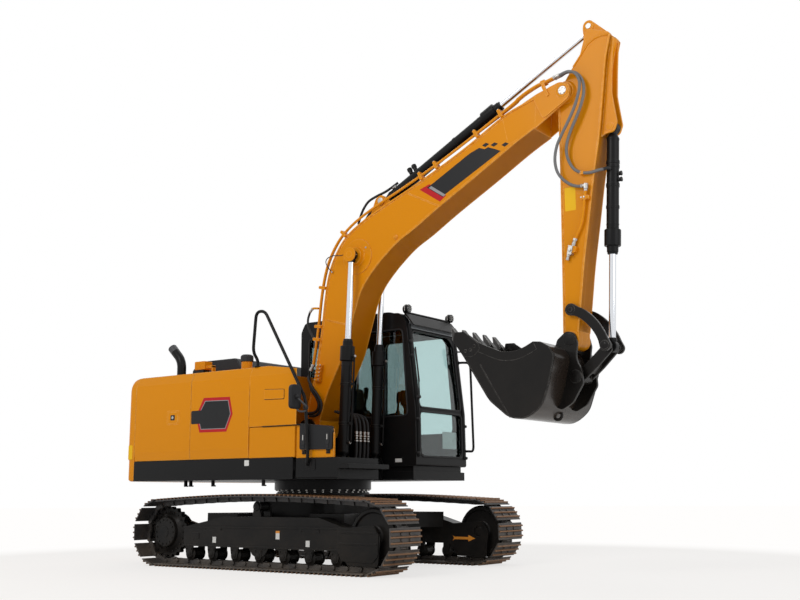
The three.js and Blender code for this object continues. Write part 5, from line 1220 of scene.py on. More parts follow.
# %% Cylinders
def cylinder(name, node, body, foot, eye, y, reach, half, pipe=(0, 1), collars=()):
    """A cylinder's barrel from its foot pin towards the rod's pin."""
    kit = Kit(name, body)
    start, end = Vector((foot[0], foot[1])), Vector((eye[0], eye[1]))
    along = (end - start).normalized()
    axis = (along.x, 0, along.y)
    origin = (foot[0], y, foot[1])
    kit.put(turned(origin, axis, [(58, half - 8), (74, half + 2), (96, 56), (104, 61), (116, 63), (128, 61),
        (132, 60), (reach - 300, 60), (reach - 296, 62), (reach - 286, 62), (reach - 282, 60), (reach - 248, 60),
        (reach - 240, 76), (reach - 234, 80), (reach - 84, 80), (reach - 78, 76), (reach - 76, 56),
        (reach - 22, 55), (reach - 18, 50), (reach - 2, 49), (reach, 46), (reach, 38), (reach - 12, 36)], 44))
    eye_profile = [(0, 40), (2, 58), (5, 62), (2 * half - 5, 62), (2 * half - 2, 58), (2 * half, 40)]
    kit.put(turned((foot[0], y - half, foot[1]), (0, 1, 0), eye_profile, 40))
    kit.put(turned((foot[0] + along.x * 30, y, foot[1] + along.y * 30), axis, [(0, half - 4), (50, half - 4)], 24))
    for where in collars:
        kit.put(turned(origin, axis, [(where, 58), (where, 60), (where + 2, 66), (where + 34, 66), (where + 36, 60),
            (where + 36, 58), (where, 58)], 40))
    out = Vector((-along.y * pipe[0], pipe[1], along.x * pipe[0])).normalized()
    ahead = Vector(axis)

    def spot(distance, lift):
        """A place along the barrel, lifted off its axis."""
        return tuple(Vector(origin) + ahead * distance + out * lift)

    for distance, lift in ((210, 56), (reach - 190, 74)):
        kit.put(turned(spot(distance, lift), out, [(0, 26), (18, 26), (20, 23), (20, 18), (30, 18)], 6), soft=1)
        kit.put(turned(spot(distance, lift + 28), out, [(0, 15), (8, 15), (8, 12), (14, 12)], 12), "bare_steel")
    line = [(210, 78), (210, 96), (240, 100), (reach - 230, 100), (reach - 190, 108), (reach - 190, 96)]
    kit.put(tube([spot(*p) for p in line], 10, 12, bend=22))
    for distance in (reach * 0.3, reach * 0.62):
        kit.put(turned(spot(distance, 0), axis, [(0, 58), (0, 60), (1, 65), (27, 65), (28, 60), (28, 58), (0, 58)],
            40))
        kit.put(turned(spot(distance, 82), axis, [(0, 28), (28, 28)], 8), soft=2)
    kit.done((node,))


def piston_rod(name, node, body, foot, eye, y, inner, half, cap=0):
    """The chromed rod with its eye. A cap is the cover of the pin on one side."""
    kit = Kit(name, body)
    start, end = Vector((foot[0], foot[1])), Vector((eye[0], eye[1]))
    along = (end - start).normalized()
    span = (end - start).length
    axis = (along.x, 0, along.y)
    kit.put(turned((foot[0], y, foot[1]), axis, [(inner, 33.5), (span - 82, 33.5)], 40), "chrome_rod")
    kit.put(turned((foot[0], y, foot[1]), axis, [(span - 84, 36), (span - 79, 42), (span - 56, 46),
        (span - 40, half)], 36))
    kit.put(turned((eye[0], y - half, eye[1]), (0, 1, 0), [(0, 0), (0, 50), (3, 56), (6, 58), (2 * half - 6, 58),
        (2 * half - 3, 56), (2 * half, 50), (2 * half, 0)], 40))
    grease = (eye[0] + along.y * 57, y, eye[1] - along.x * 57)
    kit.put(turned(grease, (along.y, 0, -along.x), [(0, 7), (8, 7), (10, 4), (16, 4)], 10), "bare_steel")
    if cap:
        out = 1 if cap > 0 else -1
        kit.put(turned((eye[0], y + out * (half - 1), eye[1]), (0, out, 0),
            [(0, 80), (9, 80), (12, 77), (12, 40), (13, 38), (16, 36), (16, 0)], 44), "paint_yellow")
    kit.done((node,))


BOOM_SIDE_Y = 285
for side, name in ((LEFT, "left"), (RIGHT, "right")):
    y = BOOM_Y + side * BOOM_SIDE_Y
    cylinder(f"boom_barrel_{name}", f"boom_cylinder_{name}", "boom_cylinders", BOOM_CYLINDER_FOOT, BOOM_HEAD_PIN, y,
        1330, 38, pipe=(-1, 0))
    piston_rod(f"boom_piston_{name}", f"boom_rod_{name}", "boom_rods", BOOM_CYLINDER_FOOT, BOOM_HEAD_PIN, y, 977.6,
        36, cap=side)
cylinder("arm_barrel", "arm_cylinder", "arm_cylinder", ARM_CYLINDER_FOOT, ARM_EAR_PIN, BOOM_Y, 1728, 50,
    pipe=(0.3, 1))
piston_rod("arm_piston", "arm_rod", "arm_rod", ARM_CYLINDER_FOOT, ARM_EAR_PIN, BOOM_Y, 1259.5, 47)
cylinder("bucket_barrel", "bucket_cylinder", "bucket_cylinder", BUCKET_CYLINDER_FOOT, LINK_END, BOOM_Y, 1258, 44,
    pipe=(0, 1), collars=(330, 560))
piston_rod("bucket_piston", "bucket_rod", "bucket_rod", BUCKET_CYLINDER_FOOT, LINK_END, BOOM_Y, 936.1, 38)

# %% [markdown]
# ## Bucket and its links
# A bucket is a rolled wrapper plate between two flat sides. The lip, the side cutters and the ears on
# its back are thicker, and all the edges that dig are worn bright. Teeth taper, so they are plates whose
# far ends are drawn narrower. The links are flame-cut plates with turned bosses.

# %% Bucket
def tapered(outline, y, half, tip, narrow, span):
    """A plate about a Y level that narrows towards a tip point, over a span in millimetres."""
    shape = plate(outline, y - half, y + half)
    goal, middle = at(tip[0], y, tip[1]), y * MM
    for v in shape.verts:
        share = min(1.0, (Vector((v.co.x, 0, v.co.z)) - Vector((goal.x, 0, goal.z))).length / (span * MM))
        v.co.y = middle + (v.co.y - middle) * (narrow + (1 - narrow) * share)
    return shape


BUCKET_HALF = 500
WRAP = rounded(offset(BUCKET_PIN, (-1090, 26), (-960, -173, 200), (-703, -573, 300), (-481, -752, 250),
    (-300, -762, 250), (-130, -650, 250), (-62, -460, 200), (-20, -300, 150), (8, -180, 90), (-40, -100, 60),
    (-138, -45)), 10)
RIM = flowing(offset(BUCKET_PIN, (-212, -38), (-316, -85), (-414, -112), (-500, -112), (-568, -102), (-700, -48),
    (-811, 4), (-900, 70)))
SIDE_TOP = RIM + offset(BUCKET_PIN, (-940, 98), (-1000, 112), (-1060, 60))
CUTTER = rounded(offset(BUCKET_PIN, (-1110, 40), (-1085, 128, 14), (-975, 124, 30), (-940, 90, 30), (-815, -6, 60),
    (-800, -60, 30), (-850, -112, 30), (-900, -130, 40), (-990, -120, 30)), 6)
bucket = Kit("bucket_shell", "bucket", "digging_black")
wrapper = WRAP + inset_line(WRAP, 20)[::-1]
# The wrapper's warm brown finish is a painted reflection.
bucket.put(wide_plate(wrapper, BUCKET_HALF - 8), "digging_warm", soft=3)
band_line = inset_line(RIM, 84)
for side in (RIGHT, LEFT):
    bucket.put(web_plate(WRAP + SIDE_TOP, side, BUCKET_HALF - 26, BUCKET_HALF - 6), soft=3)
    bucket.put(web_plate(CUTTER, side, BUCKET_HALF - 8, BUCKET_HALF), soft=3)
    bucket.put(web_plate(RIM + band_line[::-1], side, BUCKET_HALF - 8, BUCKET_HALF - 3), soft=1.5)
    face = web_y(side, BUCKET_HALF - 6)
    weld = offset(BUCKET_PIN, (-800, -215), (-640, -480), (-478, -742))
    bucket.put(bead([(x, face, z) for x, z in weld], 4.5))
    rim_weld = [(x, face, z) for x, z in inset_line(WRAP, 5)[4:-4]]
    bucket.put(bead(rim_weld, 5))
lip = offset(BUCKET_PIN, (-1116, 44), (-1098, 56), (-930, -140), (-948, -190))
bucket.put(wide_plate(rounded(lip), BUCKET_HALF - 12), soft=4)
TOOTH_TIP = (BUCKET_PIN[0] - 1180, BUCKET_PIN[1] + 196)
ADAPTER = rounded(offset(BUCKET_PIN, (-1035, -84, 10), (-985, -50, 10), (-1040, 55, 20), (-1090, 110, 12),
    (-1140, 84, 12), (-1130, 34, 20)), 4)
TOOTH = rounded(offset(BUCKET_PIN, (-1098, 40, 12), (-1062, 66, 12), (-1160, 193, 6), (-1178, 190, 6),
    (-1150, 50, 20)), 4)
for k in range(5):
    y = BOOM_Y - 400 + k * 200
    bucket.put(tapered(ADAPTER, y, 36, TOOTH_TIP, 0.8, 300), soft=4)
    bucket.put(tapered(TOOTH, y, 40, TOOTH_TIP, 0.62, 170), "track_bright", soft=4)
EAR = rounded(offset(BUCKET_PIN, (-150, -60), (-130, 5, 60), (-30, 84, 70), (60, 60, 60), (84, -40, 60),
    (62, -190, 160), (124, -299, 60), (133, -429, 60), (18, -609, 130), (-96, -668, 40), (-170, -640), (-70, -420)),
    8)
for side in (RIGHT, LEFT):
    bucket.put(web_plate(EAR, side, 136, 168), soft=5)
    for centre in (BUCKET_PIN, BUCKET_LINK_PIN):
        bucket.put(across(centre, side, 166, [(0, 62), (10, 62), (13, 59), (13, 34), (15, 32), (15, 0)]))
bucket.put(pin(BUCKET_PIN, 166, 36))
bucket.put(pin(BUCKET_LINK_PIN, 166, 31))
EYE = (3044, 1526)
ring = [(x, BOOM_Y, z) for x, z in arc(EYE, 44, 100, 440, 24)]
bucket.put(tube(ring, 15, 12))
eye_foot = rounded([(2930, 1480), (3020, 1560, 20), (3040, 1640, 20), (3080, 1720), (2990, 1760), (2940, 1600)], 4)
bucket.put(plate(eye_foot, BOOM_Y - 14, BOOM_Y + 14), soft=4)
bucket.done(("bucket",))
spots = []
for side in (RIGHT, LEFT):
    for x, z in offset(BUCKET_PIN, (-960, -70), (-905, -62), (-860, -30)):
        spots.append((at(x, web_y(side, BUCKET_HALF), z), turn_to((0, side, 0))))
repeated("cutter_bolts", hex_bolt(15, 12), spots, "digging_black", "bucket")

# %% Links
for side, name in ((LEFT, "left"), (RIGHT, "right")):
    kit = Kit(f"side_link_{name}_plate", "side_links", "digging_black")
    middle = flowing([LINK_PIVOT, *offset(LINK_PIVOT, (108, -48), (208, -132), (292, -248)), LINK_END])
    line = (inset_line(middle, 48)[2:-2] + arc(LINK_END, 57, 30, -150, 12) + inset_line(middle,
        -46)[2:-2][::-1] + arc(LINK_PIVOT, 60, 240, 60, 12))
    kit.put(web_plate(line, side, 136, 170), soft=5)
    kit.put(across(LINK_PIVOT, side, 168, [(0, 46), (6, 46), (8, 44), (8, 22), (11, 20), (11, 0)]))
    kit.put(across(LINK_END, side, 168, [(0, 42), (5, 42), (7, 40), (7, 20), (9, 18), (9, 0)]))
    kit.put(across(LINK_END, side, 90, [(0, 40), (60, 40)]))
    kit.done((f"side_link_{name}",))
link = Kit("h_link_casting", "h_link", "digging_black")
span = Vector(BUCKET_LINK_PIN) - Vector(LINK_END)
run, square = span.normalized(), Vector((-span.y, span.x)).normalized()
spot = lambda d, n: tuple(Vector(LINK_END) + run * d + square * n)
cheek = rounded([(*spot(-20, -52), 50), (*spot(-20, 52), 50), (*spot(span.length / 2, 60), 120),
    (*spot(span.length + 20, 55), 50), (*spot(span.length + 20, -55), 50), (*spot(span.length / 2, -48), 120)], 8)
for side in (RIGHT, LEFT):
    link.put(web_plate(cheek, side, 50, 84), soft=7, segments=3)
bridge = rounded([(*spot(span.length - 200, -40), 20), (*spot(span.length - 200, 40), 20),
    (*spot(span.length - 84, 46), 20), (*spot(span.length - 84, -46), 20)])
link.put(wide_plate(bridge, 60), soft=6, segments=3)
link.put(turned((BUCKET_LINK_PIN[0], web_y(RIGHT, 84), BUCKET_LINK_PIN[1]), (0, 1, 0),
    [(0, 33), (0, 56), (3, 60), (165, 60), (168, 56), (168, 33)], 40))
link.done(("h_link",))

# %% [markdown]
# ## Counterweight, doors and tank
# The counterweight is a casting whose plan is a wide arc. Its top edge rolls inwards, so it is drawn as
# many outlines one above the other, each a little smaller. The doors are pressed sheets: their section
# has soft creases, and near the front the shoulder crease runs down to make a facet.

# %% Counterweight
UPPER_HALF, TAIL_REACH, TAIL_BACK, REAR_SEAM = 1235, 3000, -2255, -1875.3


def tail_outline(shrink):
    """The counterweight's plan, made smaller by a distance everywhere but at its front."""
    half = UPPER_HALF - shrink
    middle = TAIL_BACK + shrink + TAIL_REACH
    open_angle = math.degrees(math.asin(half / TAIL_REACH))
    tail = [(x, y, 0) for x, y in arc((middle, 0), TAIL_REACH, 180 - open_angle, 180 + open_angle, 18)]
    tail[0], tail[-1] = (*tail[0][:2], 90), (*tail[-1][:2], 90)
    return rounded([(REAR_SEAM, half), *tail, (REAR_SEAM, -half)], 7)


weight = Kit("counterweight_casting", "upperstructure", "paint_yellow")
LEVELS = [(931, 34), (939, 18), (955, 8), (1168, 8), (1178, 3), (1190, 0), (1975, 0), (2015, 5), (2055, 18),
    (2088, 38), (2110, 62), (2121, 86), (2125, 112)]
weight.put(layered([(z, tail_outline(shrink)) for z, shrink in LEVELS]))
for y in (-620, 620):
    weight.put(block((-2070, -1980), (y - 45, y + 45), (2118, 2129), 0), "cab_plastic", soft=3)
weight.put(block((-1972, -1904), (-1235.9, -1234), (1180, 1343), 6), "label_yellow")
weight.done(("counterweight",))

# %% Side doors
DOOR_LOW, LOW_CREASE, SHOULDER, DOOR_TOP, SHEET = 1158, 1259, 2015, 2121, 28


def door_section(side, drop=0.0):
    """A door's section across the machine. drop lowers the shoulder's crease to make a facet."""
    w = UPPER_HALF
    points = [(w - 12, DOOR_LOW), (w, LOW_CREASE, 60), (w, SHOULDER - 18 - 130 * drop, 60),
        (w - 16 * drop, SHOULDER + 2, 30), (w - 45, DOOR_TOP, 8), (w - 45 - SHEET, DOOR_TOP - 20),
        (w - SHEET, SHOULDER - 8), (w - SHEET, LOW_CREASE), (w - 12 - SHEET, DOOR_LOW)]
    return [(side * y, z) for y, z in rounded(points, 4)]


DOORS = {
    "right_rear_door": (RIGHT, -1875, -955), "right_middle_door": (RIGHT, -955, -62),
    "left_rear_door": (LEFT, -1875, -1240), "left_front_door": (LEFT, -1240, -620),
}
LATCHES = {"right_rear_door": -1236, "left_rear_door": -1380, "left_front_door": -760}
for node, (side, rear, front) in DOORS.items():
    door = Kit(f"{node}_panel", node, "paint_yellow")
    levels = [(rear + 3, 0.0), (front - 3, 0.0)]
    if node == "right_middle_door":
        levels = [(rear + 3, 0.0), (-520, 0.0), (-380, 1.0), (front - 3, 1.0)]
    door.put(layered([(x, door_section(side, drop)) for x, drop in levels], "front"), soft=4)
    if node in LATCHES:
        x, z = LATCHES[node], 1631
        for grow, rise in ((98, 4), (76, 7)):
            outer = rounded([(x - grow, z - grow * 0.78, 12), (x + grow, z - grow * 0.78, 12),
                (x + grow, z + grow * 0.78, 12), (x - grow, z + grow * 0.78, 12)], 4)
            door.put(plate(outer, side * (UPPER_HALF - 1), side * (UPPER_HALF + rise)), soft=3, segments=3)
        door.put(block((x - 34, x + 34), (side * (UPPER_HALF + 5), side * (UPPER_HALF + 8)), (z - 30, z + 30), 6),
            "cab_plastic", soft=1)
        door.put(turned((x, side * (UPPER_HALF + 7), z), (0, side, 0), [(0, 16), (4, 16), (6, 14), (6, 0)], 24),
            "bare_steel")
    door.done((node,))


def badge(kit, finish_name, outline, side, face, rise):
    """A flat blank shape on a side wall."""
    kit.put(plate(outline, side * (face - 0.5), side * (face + rise)), finish_name)


decal = Kit("door_band", "right_middle_door")
badge(decal, "band_red", [(-752, 1828), (-352, 1819), (-304, 1632), (-392, 1446), (-806, 1450), (-868, 1630)],
    RIGHT, UPPER_HALF, 0.8)
badge(decal, "band_grey", [(-728, 1794), (-374, 1786), (-334, 1634), (-408, 1478), (-786, 1482), (-836, 1632)],
    RIGHT, UPPER_HALF, 1.2)
badge(decal, "band_dark", [(-722, 1787), (-380, 1779), (-342, 1634), (-413, 1485), (-781, 1489), (-828, 1632)],
    RIGHT, UPPER_HALF, 1.6)
badge(decal, "band_dark", rounded([(-944, 1692, 20), (-560, 1694, 30), (-535, 1622, 30), (-560, 1548, 30),
    (-940, 1546, 20)], 4), RIGHT, UPPER_HALF, 2.0)
decal.done()

# %% Tank, box, cap and small parts on the deck
wall = Kit("toolbox_inner_wall", "upperstructure", "paint_yellow")
for x0, x1, top in ((1100, 1060, 1384), (1062, 620, 1425)):
    y0, y1 = (-1213 + 1.12 * (1104 - x) for x in (x0, x1))
    wall.put(layered([(z, [(x0, y0 - 26), (x0, y0), (x1, y1), (x1, y1 - 26)]) for z in (1146, top)]))
wall.done()
deck = Kit("deck_parts", "upperstructure", "paint_yellow")
grip = rounded([(157, 1763, 12), (434, 1757, 12), (434, 1853, 12), (157, 1866, 12)], 4)
# The thin black sheet that shows round the grip is painted shade: the dark of the recess the grip sits in.
badge(deck, "paint_black", rounded([(153, 1757, 14), (438, 1751, 14), (438, 1858, 14), (153, 1871, 14)], 4), RIGHT,
    UPPER_HALF, 0.6)
deck.put(plate(grip, -UPPER_HALF - 9, -UPPER_HALF + 1), soft=5, segments=3)
deck.put(block((130, 652), (-UPPER_HALF - 6, -UPPER_HALF + 20), (1474, 1483), 0), "paint_black", soft=1.5)
deck.put(turned((-434, -900, 2120), (0, 0, 1), [(0, 74), (8, 74), (12, 62), (112, 62), (116, 60)], 40))
deck.put(turned((-434, -900, 2236), (0, 0, 1), [(0, 60), (2, 72), (56, 72), (70, 66), (80, 50), (84, 20), (84, 0)],
    40), "rubber_black")
deck.put(block((-1205, -1040), (-965, -845), (2192, 2288), 10), soft=5, segments=3)
deck.put(block((-1045, -945), (-930, -880), (2205, 2235), 6), soft=3)
deck.put(block((-965, -945), (-930, -880), (2120, 2232), 0), soft=3)
deck.put(block((-1190, -1070), (-955, -855), (2162, 2193), 6), "cab_plastic", soft=4)
deck.put(block((-118, -53), (-1230.4, -1227), (1076, 1135), 6), "label_white")
for x in (-1130, -1050, -700, 50):
    deck.put(block((x - 9, x + 9), (-1130, -1090), (866, 935), 6), "paint_black", soft=3)
    deck.put(block((x - 9, x + 26), (-1130, -1090), (866, 880), 4), "paint_black", soft=3)
for x in (702, 1020):
    for z, size in ((1190, 22), (1212, 16)):
        deck.put(block((x - 24, x + 24), (-1225, -1205), (z - size / 2, z + size / 2), 4), "paint_black", soft=3)
deck.done()

lid = Kit("lid_latches", "toolbox_lid", "rubber_black")
for x in (702, 1020):
    lid.put(block((x - 22, x + 22), (-1237, -1229), (1268, 1388), 20), soft=4, segments=3)
    lid.put(block((x - 9, x + 3), (-1239.4, -1236), (1318, 1372), 5), "bare_steel", soft=2)
    lid.put(block((x - 15, x + 15), (-1237, -1229), (1236, 1262), 8), soft=3)
lid.done()

# %% [markdown]
# ## Exhaust, handrails and mirrors
# These are bent tubes. The helper rounds each corner, and the tube keeps its roundness through the bend.
# A mirror is a moulded housing with a bright face, a knob and two thin arms clamped to the rail.

# %% Tubes on the upper structure
stack = Kit("exhaust_stack", "upperstructure")
path = [(-1600, -800, 2128), (-1600, -800, 2345), (-1772, -800, 2512)]
stack.put(turned((-1600, -800, 2125.5), (0, 0, 1), [(0, 85), (20, 85), (24, 80), (24, 50)], 40))
stack.put(tube(path, 53, 32, bend=90))
tip = (Vector(path[2]) - Vector(path[1])).normalized()
start = Vector(path[2]) - tip * 80
stack.put(turned(tuple(start), tip, [(0, 53.6), (82, 54), (84, 52), (84, 48), (40, 47), (40, 0)], 40),
    "engine_grey")
stack.done(("exhaust",))

RAIL_Y, RAIL = -1258, 17
rail = Kit("handrail_tube", "upperstructure")
rail_path = [(-5, -1175, 2126), (-5, -1175, 2195), (0, RAIL_Y, 2275), (35, RAIL_Y, 2705), (160, RAIL_Y, 2705),
    (745, RAIL_Y, 1739), (790, RAIL_Y, 1160), (770, RAIL_Y, 1075), (770, -1227, 1075)]
rail.put(tube(rail_path, RAIL, 16, bend=70))
for x, y, z, axis in ((-5, -1175, 2126, (0, 0, 1)), (770, -1228, 1075, (0, -1, 0))):
    rail.put(turned((x, y, z), axis, [(-6, 38), (6, 38), (8, 34), (8, 18)], 28))
rail.put(block((690, 860), (-1232, -1222), (1020, 1130), 14), soft=3)
rail.done(("handrail_right",))

grab = Kit("cab_handrail_tube", "upperstructure")
grab.put(tube([(1090, 1192, 1270), (1148, 1192, 1270), (1158, 1292, 1270), (1128, 1292, 2320), (1098, 1192, 2320),
    (1012, 1192, 2320)], 14, 16, bend=70))
for x, z in ((1094, 1270), (1014, 2320)):
    grab.put(turned((x, 1192, z), (1, 0, 0), [(-4, 30), (6, 30), (8, 26), (8, 15)], 24))
grab.done(("cab_handrail",))


def mirror(node, x, y, z, arms):
    """A mirror with its housing square to X, its face to the rear, and its arms."""
    kit = Kit(f"{node}_housing", "upperstructure", "rubber_black")
    outline = rounded([(y - 75, z - 124, 45), (y + 75, z - 124, 45), (y + 75, z + 124, 55), (y - 75, z + 124, 55)],
        7)
    inner = rounded([(y - 64, z - 112, 38), (y + 64, z - 112, 38), (y + 64, z + 112, 46), (y - 64, z + 112, 46)], 7)
    kit.put(plate(outline, x - 24, x + 26, "front"), "cab_plastic", soft=16, segments=4)
    kit.put(plate(inner, x - 25, x - 22, "front"), "mirror_face", soft=1)
    kit.put(turned((x + 24, y, z), (1, 0, 0), [(0, 24), (10, 24), (14, 18), (26, 18), (30, 14), (30, 0)], 24))
    for arm_path in arms:
        kit.put(tube(arm_path, 9.5, 12, bend=45), "engine_grey")
    kit.put(turned((arms[0][-1][0], arms[0][-1][1], arms[0][-1][2] - 20), (0, 0, 1), [(0, 26), (40, 26)], 16),
        soft=3)
    kit.done((node,))


mirror("mirror_right", 700, -1370, 1752, [
    [(722, -1370, 1752), (770, -1345, 1700), (800, -1300, 1652), (754, -1262, 1648)],
    [(700, -1350, 1640), (730, -1330, 1600), (770, -1290, 1606), (757, -1262, 1620)]])
mirror("mirror_left", 1175, 1368, 2460, [
    [(1190, 1366, 2440), (1140, 1300, 2440), (1120, 1180, 2446), (1004, 1162, 2450)],
    [(1180, 1350, 2345), (1170, 1290, 2330), (1150, 1220, 2350), (1112, 1180, 2440)]])

# %% [markdown]
# ## Cab
# The cab's shell and door are copies of the CAD shapes with rounded pressed edges. What makes it read as
# a cab sits on top: rubber gaskets round every pane, a pale visor over the windscreen, work lamps with
# wire guards, a wiper, and the dark things that show through the glass.

# %% Gaskets, visor, wiper and lamps
CAB_RIGHT, CAB_LEFT, CAB_FLOOR = 200, 1222, 1085
LAMP_RADIUS = 48
FACE = [(1098, 1085), (1086, 1700), (965, 2690)]


def cab_front(z):
    """Where the cab's front face is at a height."""
    low, high = (FACE[0], FACE[1]) if z < FACE[1][1] else (FACE[1], FACE[2])
    return low[0] + (high[0] - low[0]) * (z - low[1]) / (high[1] - low[1])


def ring_of(outline, place, radius=10, sides=8):
    """A rubber gasket: a tube round a closed outline, on a surface given by a function."""
    points = [place(a, b) for a, b in outline]
    return tube(points + points[:2], radius, sides)


def window_outline(a0, a1, b0, b1, corner=60, lean=0):
    """A window's outline with round corners. lean moves its upper far corner back."""
    return rounded([(a0, b0, corner), (a1, b0, corner), (a1 - lean, b1, corner), (a0, b1, corner)], 6)


def face_plate(outline, inner, outer):
    """A plate that lies on the leaning windscreen frame, between two distances from it."""
    shape = bmesh.new()
    rings = [[shape.verts.new(at(cab_front(z) + out, y, z)) for y, z in outline] for out in (inner, outer)]
    for ring in rings:
        shape.faces.new(ring)
    for i in range(len(outline)):
        shape.faces.new([rings[0][i - 1], rings[0][i], rings[1][i], rings[1][i - 1]])
    bmesh.ops.recalc_face_normals(shape, faces=shape.faces)
    return shape


cab = Kit("cab_fittings", "upperstructure", "rubber_black")
for y, z, r, first in ((285, 2610, 110, 180), (1137, 2610, 190, 90), (285, 1190, 110, 270), (1137, 1190, 110, 360)):
    sy, sz = (1 if y < 700 else -1), (1 if z < 1700 else -1)
    round_line = arc((y + sy * r, z + sz * r), r, first, first - 90, 8)
    cab.put(face_plate([(y - sy * 6, z - sz * 6), *round_line], -8, 4))
on_front = lambda y, z: (cab_front(z) + 1, y, z)
on_right = lambda x, z: (x, CAB_RIGHT - 1, z)
on_left = lambda x, z: (x, CAB_LEFT + 1, z)
on_rear = lambda y, z: (-601, y, z)
cab.put(ring_of(window_outline(285, 1137, 1734, 2610), on_front, 12))
cab.put(ring_of(window_outline(285, 1137, 1190, 1690), on_front, 12))
cab.put(ring_of(window_outline(285, 1137, 1700, 2560), on_rear))
cab.put(ring_of(window_outline(-470, 130, 1640, 2620, lean=70), on_right))
cab.put(ring_of(window_outline(200, 985, 1640, 2620, lean=70), on_right))
cab.put(ring_of(window_outline(-520, -220, 1640, 2620, lean=70), on_left))
visor = [(cab_front(z) + 5, z) for z in (2632, 2690)] + [(952, 2735), (905, 2782)]
visor_line = flowing(visor, 5)
cab.put(plate(visor_line + inset_line(visor_line, -9)[::-1], 262, 1160), "visor_grey", soft=3)
cab.put(plate(rounded([(1040, 2660), (1046, 2668), (935, 2806, 20), (915, 2800)], 3), 240, 1182), "paint_black",
    soft=3)
for y in (252, 1170):
    frame_line = [(cab_front(z) + 3, y, z) for z in (1180, 1400, 1700, 2000, 2300, 2600, 2680)]
    cab.put(tube(frame_line, 20, 12), "paint_black")
for y, z in ((236, 2478), (240, 2317), (236, 1600), (236, 1225), (1196, 1560), (1196, 1190)):
    cab.put(turned((cab_front(z), y, z), (1, 0, 0), [(-4, 20), (14, 20), (18, 16), (30, 16), (32, 12), (32, 0)],
        16))
wiper = [(cab_front(z) + shift, y, z) for z, y, shift in ((1846, 262, 34), (1990, 282, 30), (2180, 296, 26),
    (2400, 290, 22))]
cab.put(tube(wiper, 8, 8, smooth=4))
blade = [(cab_front(z) + 15, y, z) for z, y in ((2020, 318), (2220, 316), (2420, 312))]
cab.put(tube(blade, 9, 6, smooth=3))
cab.put(turned((cab_front(1846), 262, 1846), (1, 0, 0), [(-4, 26), (30, 26), (38, 18), (44, 18)], 20))
cab.put(plate(window_outline(790, 1080, 1290, 1485, 8), 1048, 1050, "front"), "label_white")
cab.put(block((812, 902), (197, 201), (1128, 1168), 4), "label_white")
cab.put(plate(rounded([(62, 218, 60), (718, 218, 60), (718, 1204, 60), (62, 1204, 60)], 6), 2829, 2838, "plan"),
    soft=3)
cab.put(block((-120, 60), (220, 480), (2820, 2829), 20), "paint_black", soft=3)
for y in (310, 1192):
    cab.put(block((872, 908), (y - 14, y + 14), (2775, 2850), 6), "paint_black", soft=3)
    cab.put(turned((868, y, 2872), (1, 0, -0.06), [(0, 0), (0, 22), (10, 40), (26, 46), (62, 48), (66, 46),
        (66, 40), (60, 38), (20, 36), (20, 0)], 32), "cab_plastic")
    cab.put(turned((926, y, 2868.5), (1, 0, -0.06), [(0, 39), (6, 37), (9, 24), (10, 0)], 32), "lamp_glass")
    cab.put(turned((900, y, 2870), (1, 0, -0.06), [(0, 0), (2, 20), (22, 38), (23, 38)], 28), "mirror_face")
    for lift in (-24, 0, 24):
        reach = math.sqrt(LAMP_RADIUS ** 2 - lift * lift)
        wire = [(938, y - reach, 2870 + lift), (950, y - reach * 0.5, 2870 + lift),
            (950, y + reach * 0.5, 2870 + lift), (938, y + reach, 2870 + lift)]
        cab.put(tube(wire, 2.6, 6), "bare_steel")
    hoop = [(905, y + 52, 2840), (905, y + 58, 2900), (905, y + 30, 2928), (905, y - 30, 2928), (905, y - 58, 2900),
        (905, y - 52, 2840)]
    cab.put(tube([(p[0], p[1], min(p[2], 2915)) for p in hoop], 4, 8, bend=14), "bare_steel")
cab.put(tube([(895, 330, 2826), (900, 1170, 2826)], 13, 12), "paint_black")
cab.done()

door = Kit("cab_door_fittings", "cab_door", "rubber_black")
outline = rounded([(-60, 1480, 60), (935, 1480, 60), (925, 1700, 200), (845, 2560, 60), (780, 2645, 60),
    (-60, 2645, 60)], 6)
door.put(ring_of(outline, on_left, 10))
door.put(block((770, 930), (1222, 1250), (1395, 1430), 14), soft=6, segments=3)
door.put(block((-40, 40), (1221, 1230), (1395, 1445), 10), "paint_black", soft=3)
door.done()

# %% [markdown]
# ## Seat and controls
# The cushions are blown up by a short cloth simulation: each CAD block becomes an even mesh and pressure
# lifts its faces, as foam under a stretched cover does. The seams' piping is added after it. Joysticks,
# a display and the long travel levers show through the glass.

# %% Padded seat
SEAT_Y = 711


def cushion(name, shape, most=0.024):
    """A padded piece from a block: even mesh, a short pressure simulation, one subdivision."""
    piece = new_object(name, mesh_of(name, shape))
    remesh = piece.modifiers.new("even", "REMESH")
    remesh.mode = "VOXEL"
    remesh.voxel_size = 0.006
    piece.data = evaluated_mesh(piece)
    piece.modifiers.clear()
    rest = [v.co.copy() for v in piece.data.vertices]
    cloth = piece.modifiers.new("puff", "CLOTH")
    cloth.settings.use_pressure = True
    cloth.settings.uniform_pressure_force = 4.0
    cloth.settings.effector_weights.gravity = 0
    cloth.settings.quality = 4
    scene = bpy.context.scene
    for step in range(1, 21):
        scene.frame_set(step)
    puffed = evaluated_mesh(piece)
    for vertex, before in zip(puffed.vertices, rest):
        move = vertex.co - before
        if move.length > most:
            vertex.co = before + move.normalized() * most
    piece.modifiers.clear()
    piece.data = puffed
    scene.frame_set(1)
    finer = piece.modifiers.new("finer", "SUBSURF")
    finer.levels = finer.render_levels = 1
    piece.data = evaluated_mesh(piece)
    piece.modifiers.clear()
    piece.data.name = name
    piece.data.materials.clear()
    piece.data.materials.append(FINISHES["seat_cloth"][0])
    print(name, len(piece.data.polygons), "faces")
    return piece


